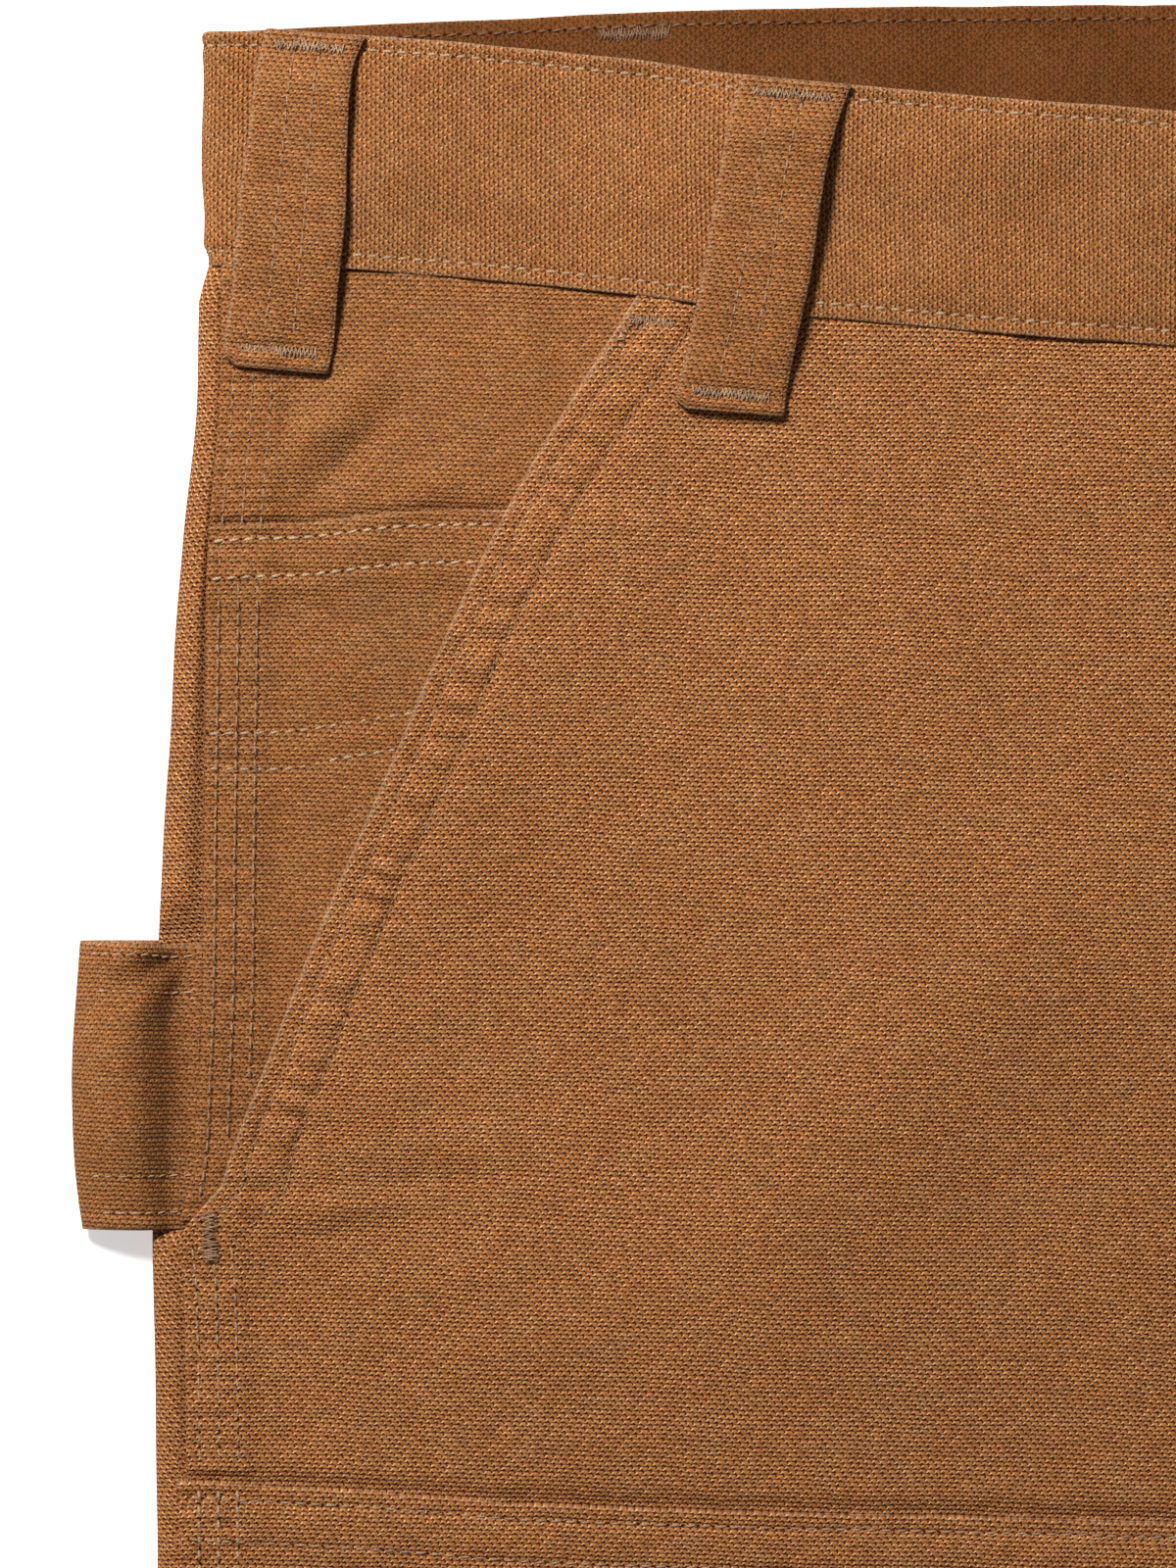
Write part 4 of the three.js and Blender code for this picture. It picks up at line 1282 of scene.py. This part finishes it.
def band_profile():
    """The band cut across, as (down from its top edge, height) pairs: inside, over the top, outside."""
    inside = [(BAND_HEIGHT - 1.5 - 3.5 * i, -2 * BAND_TURN) for i in range(12)]
    inside += [(e, -2 * BAND_TURN) for e in (3.4, 2.8, 2.2, 1.5)]
    top = turned_edge(BAND_TURN)[1:]
    outside = [1.5, 2.2, 2.8, 3.4, 4.4, 6.5, *[9 + 3.2 * i for i in range(10)]]
    outside += [BAND_HEIGHT - e for e in (4.2, 3.4, 2.8, 2.2, 1.5, 1.0)]
    low = [(BAND_HEIGHT - e, z) for e, z in reversed(turned_edge(0.45)[1:])]
    return inside + top + [(e, 0) for e in outside] + low


def band_point(station, down, height):
    """A point of the band, with its grooves, and lifted where it lies over the pocket's layers."""
    # Small puckers beside the stitching, and broad waves, some of them leaning
    sewn = bell(down, 5) + bell(BAND_HEIGHT - down, 5)
    pucker = noise.noise(Vector((station.run / 3.3, down / 5, 7.7)))
    pucker += noise.noise(Vector((station.run / 9, down / 12, 5.5)))
    leaning = (station.run + 0.9 * down) / 11
    soft = 2.2 * noise.noise(Vector((station.run / 24, down / 17, 1.9)))
    soft += 1.3 * noise.noise(Vector((leaning, down / 40, 3.9))) * ease(down, 14, 36)
    soft *= 1 - 0.6 * ease(down, 34, BAND_HEIGHT)
    relief = -0.42 * grooves(down, BAND_ROWS, 0.65) + 0.6 * pucker * sewn + soft
    if height < -BAND_TURN:
        relief *= 0.7
    # Its lower edge is drawn in at the side fold, and lifted over the pocket's layers
    corner = ease(down, BAND_HEIGHT - 5, BAND_HEIGHT) ** 2
    relief -= 1.3 * corner * abs(station.normal.x)
    over_pocket = plateau(abs(station.x), *BAND_OVER_POCKET) * ease(down, 26, 42)
    relief += 0.75 * over_pocket * max(station.normal.z, 0)
    wobble = 0.25 * noise.noise(Vector((station.run / 14, 3.1, 0)))
    on_line = Vector((station.x, WAIST_Y - station.top - down - wobble, station.z))
    return on_line + station.normal * (height + relief)


band_canvas = duck_canvas("waistband_canvas", 0.91, 0.88)
stations = band_stations()


def band_row(down, height):
    wear_and_highlight = min(down, BAND_HEIGHT - down) if height > -1.5 * BAND_TURN else FAR
    unrolled = down if height > -BAND_TURN else -down
    # Painted shade on the band's inside layer, where it shows over the front
    inside = ease(-height, 0.8 * BAND_TURN, 1.9 * BAND_TURN)
    spots = []
    for s in stations:
        weave = (unrolled + 0.12 * s.run, s.run)
        spots.append(Spot(band_point(s, down, height), weave, wear_and_highlight + 0.15, inside))
    return spots


rows = [band_row(down, height) for down, height in band_profile()]
band = cloth_piece("cloth_waistband", rows, band_canvas, looks_up=False)
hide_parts("waistband")

sewing = Sewing("waistband", 50)
for down in BAND_ROWS:
    for first, last in ((0, len(stations) // 2), (len(stations) // 2, len(stations))):
        part = stations[first:last]
        path = [band_point(s, down, 0.0) for s in part]

        def normal_near(point, path=path, part=part):
            nearest = min(range(len(path)), key=lambda i: (path[i] - point).length_squared)
            return part[nearest].normal

        sewing.row(path, up=normal_near, dim=0.5)
under = [s for s in stations if s.normal.z < -0.99]
inside_row = [band_point(s, BAND_ROWS[0], -2 * BAND_TURN) for s in under]
# This row and the bars below get painted shade, as the band's inside does
sewing.row(inside_row, up=UP, dim=1.8, size=(1.9, 0.2), hole_size=0.4)
for x in BACK_LOOPS:
    bar = [band_point(s, INSIDE_BAR, -2 * BAND_TURN) for s in under if abs(s.x - x) < 8.5]
    sewing.bartack(bar[0], bar[-1], width=2.9, pitch=0.3, dim=1.75)
sewing.finish()


# Belt loops: two on each front half and three on the back, folded strips of canvas 20 mm wide.
# Each is sewn down its length with two rows, and barred to the band's top edge and to the panel
# below the band, so that it stands off the band between the bars.

Loop = namedtuple("Loop", "share middle width")
LOOP_SHAPES = {
    "front": [
        Loop(0, 103.4, 20.6),
        Loop(0.12, 106.0, 20.3),
        Loop(0.3, 108.3, 19.8),
        Loop(0.57, 110.9, 20.2),
        Loop(0.75, 113.2, 20.0),
        Loop(0.9, 115.2, 20.3),
        Loop(1, 116.5, 21.2),
    ],
    "side": [
        Loop(0, 194.2, 18.8),
        Loop(0.1, 196.2, 18.0),
        Loop(0.33, 197.6, 18.8),
        Loop(0.52, 198.6, 20.3),
        Loop(0.75, 199.9, 19.9),
        Loop(0.92, 201.2, 20.6),
        Loop(1, 202.0, 19.8),
    ],
}
LOOP_CURVES = {
    name: [curve([(row.share, getattr(row, key)) for row in shape]) for key in ("middle", "width")]
    for name, shape in LOOP_SHAPES.items()
}
LOOP_BELOW = 19.5  # of the loop under the band
LOOP_LENGTH = BAND_HEIGHT + LOOP_BELOW
LOOP_WALL = 1.3
LOOP_STANDS = 2.0  # off the band, between its bars
LOOP_BASE = 1.1  # of its lowest layer over the cloth
LOOP_SLOPE = 0.09  # of its ends
LOOP_SEWN = (0.36, 0.62)  # of the width, the two rows
LOOP_BARS = (0.045, 0.945)  # of the length, the two bars
BACK_LOOP_WIDTH = 19


def loop_grooves(aside, width):
    return sum(bell((aside + 0.5 - sewn) * width, 0.7) for sewn in LOOP_SEWN)


def loop_at(side, name, share, aside):
    """A point of a front loop: share runs down its length, aside across it from -0.5 to 0.5."""
    middle, width = [at(share) for at in LOOP_CURVES[name]]
    offset = aside * width
    end_corner = ease(share, 0.93, 1) * ease(-aside, 0.36, 0.5)
    across = middle - offset * (1 - 0.06 * end_corner)
    waist = front_waist(middle)
    down = waist + 0.2 + share * (LOOP_LENGTH - 1.3 * end_corner) + offset * LOOP_SLOPE
    row = max(down - waist, BAND_HEIGHT + 0.7)
    if name == "front":
        on_panel = front_inside(side, row, across).z
    else:
        on_panel = facing_at(side, row, max(seam_edge(row) - across, 0.1)).z
    # It stands off the band between its bars, and comes down to the panel below the band
    ground = lerp(band_top(across), on_panel, ease(share, 0.72, 0.93))
    stands = LOOP_STANDS * ease(share, 0.03, 0.2) * (1 - ease(share, 0.52, 0.95))
    bars = sum(bell((share - bar) * LOOP_LENGTH, 1.6) for bar in LOOP_BARS)
    from_end = min(share, 1 - share) * LOOP_LENGTH
    rounded = 0.75 * bell((0.5 - abs(aside)) * width, 0.55) + 0.6 * bell(from_end, 0.6)
    # Waves along it, small rungs across it, a slight twist, and grooves under the stitching
    wave = 0.5 * noise.noise(Vector((share * 7, aside * 1.5, side * 3 + width)))
    rung = noise.noise(Vector((share * 24, aside * 2.2, side + 9.4)))
    relief = wave * ease(from_end, 2, 14) + 0.42 * rung
    relief -= 0.2 * loop_grooves(aside, width) + 0.45 * bars + rounded
    twist = -0.5 * aside * math.sin(math.pi * share)
    return place(side, across, down, ground + LOOP_WALL + LOOP_BASE + stands + relief + twist)


LOOP_ASIDE = [0, 0.012, 0.03, 0.06, 0.12, 0.2, 0.28, 0.33, 0.36, 0.39, 0.45, 0.53, 0.59, 0.62, 0.65]
LOOP_ASIDE += [0.72, 0.8, 0.88, 0.94, 0.97, 0.988, 1]
LOOP_SHARES = [0, 0.004, 0.01, 0.02, 0.032, 0.045, 0.058, 0.075, *[0.1 + 0.02 * i for i in range(41)]]
LOOP_SHARES += [0.915, 0.932, 0.945, 0.958, 0.97, 0.98, 0.99, 0.996, 1]


def loop_rows(point_at, width):
    """Rows of spots across a belt loop, with the weave's rows running across it."""
    rows = []
    run, before = 0.0, None
    for share in LOOP_SHARES:
        points = [point_at(share, aside - 0.5) for aside in LOOP_ASIDE]
        middle = points[len(points) // 2]
        if before:
            run += (middle - before).length
        before = middle
        from_end = min(share, 1 - share) * LOOP_LENGTH
        wear_and_highlight = [min(aside * width, (1 - aside) * width, from_end) + 0.2 for aside in LOOP_ASIDE]
        weave = [(aside * width, -run) for aside in LOOP_ASIDE]
        rows.append([Spot(*spot) for spot in zip(points, weave, wear_and_highlight)])
    return rows


def sew_loop(name, point_at, up, seed):
    sewing = Sewing(name, seed)
    for sewn in LOOP_SEWN:
        path = [point_at(share, sewn - 0.5) for share in steps(60) if 0.06 < share < 0.93]
        sewing.row(path, up=up, dim=0.7, size=(2.0, 0.19), hole_size=0.26)
    for bar in LOOP_BARS:
        start, end = point_at(bar, -0.36), point_at(bar, 0.36)
        sewing.bartack(start + up * 0.15, end + up * 0.15, up=up, width=2.4)
    sewing.finish()


for side, side_name in SIDES:
    for name in LOOP_SHAPES:

        def point_at(share, aside, side=side, name=name):
            return loop_at(side, name, share, aside)

        full = name + "_" + side_name
        loop = cloth_piece("cloth_loop_" + full, loop_rows(point_at, 20), handled_canvas, wall=LOOP_WALL)
        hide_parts("loop_" + full)
        sew_loop("loop_" + full, point_at, UP, 60 + side * 5 + len(name))

for x, name in BACK_LOOPS.items():

    def point_at(share, aside, x=x):
        z = 0.08 + 0.35 * bell((0.5 - abs(aside)) * BACK_LOOP_WIDTH, 0.5)
        z += 0.2 * loop_grooves(aside, BACK_LOOP_WIDTH)
        down = back_waist(abs(x)) + 0.6 + share * (LOOP_LENGTH - 1.2)
        return Vector((x + aside * BACK_LOOP_WIDTH, WAIST_Y - down, z))

    rows = loop_rows(point_at, BACK_LOOP_WIDTH)
    loop = cloth_piece("cloth_loop_back_" + name, rows, handled_canvas, wall=1.1, looks_up=False)
    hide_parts("loop_back_" + name)
    sew_loop("loop_back_" + name, point_at, -UP, 80 + x)


# Hammer loop: a wide doubled strap of canvas. It comes out from under the right side seam's
# felled edge, curls round past the side of the leg and goes back under it. Two rows of
# stitching run near each of its edges.

HAMMER_TOP = 172.2
HAMMER_DEPTH = 54.8
HAMMER_WALL = 0.9
HAMMER_CORNER = (218.5, 173.5)  # across and down, where its creases fan out from
HAMMER_EDGE = curve([(0, 0.2), (0.1, -0.2), (0.35, -1.2), (0.5, -1.4), (0.75, -1.0), (0.9, -0.2), (1, 0.6)])
HAMMER_FORM = [
    (206.0, 5.6),
    (211.6, 5.5),
    (215.6, 5.2),
    (218.8, 4.8),
    (221.6, 6.4),
    (224.6, 9.9),
    (227.8, 12.6),
    (232.0, 12.7),
    (236.2, 9.7),
    (238.6, 6.8),
    (239.4, 4.6),
    (239.0, 2.6),
    (236.5, 0.9),
    (232.0, 0.25),
    (222.0, 0.1),
    (210.0, 0.1),
    (196.0, 0.1),
]
HAMMER_SEWN = (2.4, 9.4, 44.5, 51.5)  # down from its upper edge


def hammer_along(t):
    """Across and height at a share of the way along the strap, on a smooth line."""
    span = len(HAMMER_FORM) - 1
    i = min(int(t * span), span - 1)
    f = t * span - i
    p = [HAMMER_FORM[min(max(i + k, 0), span)] for k in (-1, 0, 1, 2)]
    weights = (
        -0.5 * f**3 + f**2 - 0.5 * f,
        1.5 * f**3 - 2.5 * f**2 + 1,
        -1.5 * f**3 + 2 * f**2 + 0.5 * f,
        0.5 * f**3 - 0.5 * f**2,
    )
    return [sum(w * q[k] for w, q in zip(weights, p)) for k in (0, 1)]


def hammer_at(t, share):
    """A point of the strap: t runs along it from under the seam, share down across it."""
    across, z = hammer_along(t)
    # Its lower corner lies flatter, and its outer edge is bowed
    z *= 1 - 0.3 * ease(share, 0.6, 1) * ease(across, 220, 232)
    from_top = HAMMER_DEPTH * share
    down = HAMMER_TOP + from_top
    across -= HAMMER_EDGE(share) * ease(across, 222, 239)
    from_end = min(share, 1 - share) * HAMMER_DEPTH
    # Creases fan out of the upper corner, and a valley runs down beside the seam
    away = Vector((across - HAMMER_CORNER[0], down - HAMMER_CORNER[1]))
    angle = math.atan2(away.y, max(away.x, 0.01))
    fan = math.sin(angle * 7.5 + 0.8) * math.exp(-away.length / 22) * ease(away.length, 1, 9)
    upper = ease(z, 3, 8)
    relief = 1.25 * fan - 0.7 * bell(from_end, 0.55) - 0.28 * grooves(from_top, HAMMER_SEWN, 0.65)
    relief += 0.3 * noise.noise(Vector((across / 9, down / 12, 2.2)))
    relief -= 1.3 * bell(down - 219, 14) * bell(across - 222, 4.5)
    down += 2.2 * upper * ease(across, 228, 215) * (1 - share) ** 2
    return place(-1, across, down, z + relief * upper)


hammer_shares = [0, 0.004, 0.01, 0.02, 0.032, 0.044, 0.056, 0.075, 0.1]
hammer_shares += [0.13 + 0.03 * i for i in range(26)]
hammer_shares += [0.91, 0.93, 0.944, 0.956, 0.968, 0.98, 0.99, 0.996, 1]
rows = []
for share in hammer_shares:
    points = [hammer_at(t, share) for t in steps(72)]
    from_end = min(share, 1 - share) * HAMMER_DEPTH
    rows.append(spots_along(points, [from_end + 0.1] * len(points)))
strap = cloth_piece("cloth_hammer_loop", rows, handled_canvas, wall=HAMMER_WALL)
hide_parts("hammer_loop")

sewing = Sewing("hammer_loop", 90)
for from_top in HAMMER_SEWN:
    path = [hammer_at(t, from_top / HAMMER_DEPTH) for t in steps(60) if 0.06 < t < 0.52]
    sewing.row(path, dim=0.2, size=(2.0, 0.19))
sewing.finish()


# Waist button: a low domed tack button of dull antique brass on the band's upper end.
# Its rim is rolled, with a sunk ring round a plain domed middle.

BUTTON_AT = (6, 22)  # across, and down from the band's top edge
BRASS = (0.42, 0.27, 0.115, 1)
BRASS_DARK = (0.12, 0.075, 0.035, 1)


def antique_brass():
    finish = Finish("antique_brass")
    where = finish.on_piece()
    patina = finish.noise(where, 900.0, detail=4.0).eased(0.4, 0.65)
    colour = finish.mixed(patina * 0.6, BRASS, BRASS_DARK)
    roughness = patina * 0.25 + 0.32
    return finish.surface({"Base Color": colour, "Metallic": 1.0, "Roughness": roughness})


BUTTON_PROFILE = [  # out from its middle, and up
    (0, 0),
    (4.7, 0),
    (5.2, 1.1),
    (7.6, 1.3),
    (8.4, 1.7),
    (8.5, 2.3),
    (8.0, 2.9),
    (7.1, 3.1),
    (6.5, 2.8),
    (6.0, 2.5),
    (5.2, 2.5),
    (4.6, 2.9),
    (3.0, 3.3),
    (0, 3.5),
]
bm = bmesh.new()
verts = [bm.verts.new((r, 0, z)) for r, z in BUTTON_PROFILE]
edges = [bm.edges.new(pair) for pair in zip(verts, verts[1:])]
bmesh.ops.spin(
    bm, geom=verts + edges, cent=(0, 0, 0), axis=(0, 0, 1), angle=math.tau, steps=40, use_merge=True
)
bmesh.ops.remove_doubles(bm, verts=bm.verts, dist=1e-4)
bmesh.ops.recalc_face_normals(bm, faces=bm.faces)
across, below = BUTTON_AT
centre = place(1, across, front_waist(across) + below, band_top(across) + 0.1)
for vert in bm.verts:
    vert.co = (vert.co + centre) * MM
button = new_piece("button", bm, antique_brass())
rounding = button.modifiers.new("rounding", "SUBSURF")
rounding.levels = rounding.render_levels = 1
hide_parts("waist_button")


# The trousers lie flat on a white table, under one soft light from the upper left and a white room.
# The camera looks straight down at the wearer's right hip.

PIXELS_PER_MM = 5.4
FRAME_PIXELS = 1600  # of its longer side
FRAME_CENTRE = Vector((-142.8, 391.9))
CAMERA_HEIGHT = 1500
FOCUS_LEVEL = 11
SENSOR = 36

bm = bmesh.new()
bmesh.ops.create_grid(bm, x_segments=1, y_segments=1, size=4)
mesh = bpy.data.meshes.new("table")
bm.to_mesh(mesh)
bm.free()
table = bpy.data.objects.new("table", mesh)
bpy.context.collection.objects.link(table)
paper = Finish("white_table")
grain = paper.noise(paper.on_piece(), 3.0)
white = paper.mixed(grain, (0.93, 0.93, 0.93, 1), (0.95, 0.95, 0.95, 1))
lit_white = {"Base Color": white, "Roughness": 0.9, "Specular IOR Level": 0.0, "Emission Strength": 0.5}
lit_white["Emission Color"] = (1, 1, 1, 1)
mesh.materials.append(paper.surface(lit_white))

lamp = bpy.data.lights.new("window", "AREA")
lamp.shape = "DISK"
lamp.size = 0.32
lamp.energy = 18.9
lamp_object = bpy.data.objects.new("window", lamp)
bpy.context.collection.objects.link(lamp_object)
LIGHT_FROM = Vector((-0.33, 0.54, 0.77))
aim = Vector((FRAME_CENTRE.x, FRAME_CENTRE.y, 0)) * MM
lamp_object.location = aim + LIGHT_FROM * 1.2
lamp_object.rotation_euler = LIGHT_FROM.to_track_quat("Z", "Y").to_euler()

world = bpy.data.worlds.new("room")
world.use_nodes = True
world.node_tree.nodes["Background"].inputs[0].default_value = (1, 1, 1, 1)
world.node_tree.nodes["Background"].inputs[1].default_value = 0.14
bpy.context.scene.world = world
bpy.context.scene.view_settings.view_transform = "Standard"

camera = bpy.data.cameras.new("camera")
camera.sensor_width = SENSOR
camera.lens = SENSOR * (CAMERA_HEIGHT - FOCUS_LEVEL) / (FRAME_PIXELS / PIXELS_PER_MM)
camera.clip_end = 20
camera_object = bpy.data.objects.new("camera", camera)
camera_object.location = Vector((FRAME_CENTRE.x, FRAME_CENTRE.y, CAMERA_HEIGHT)) * MM
bpy.context.collection.objects.link(camera_object)
bpy.context.scene.camera = camera_object
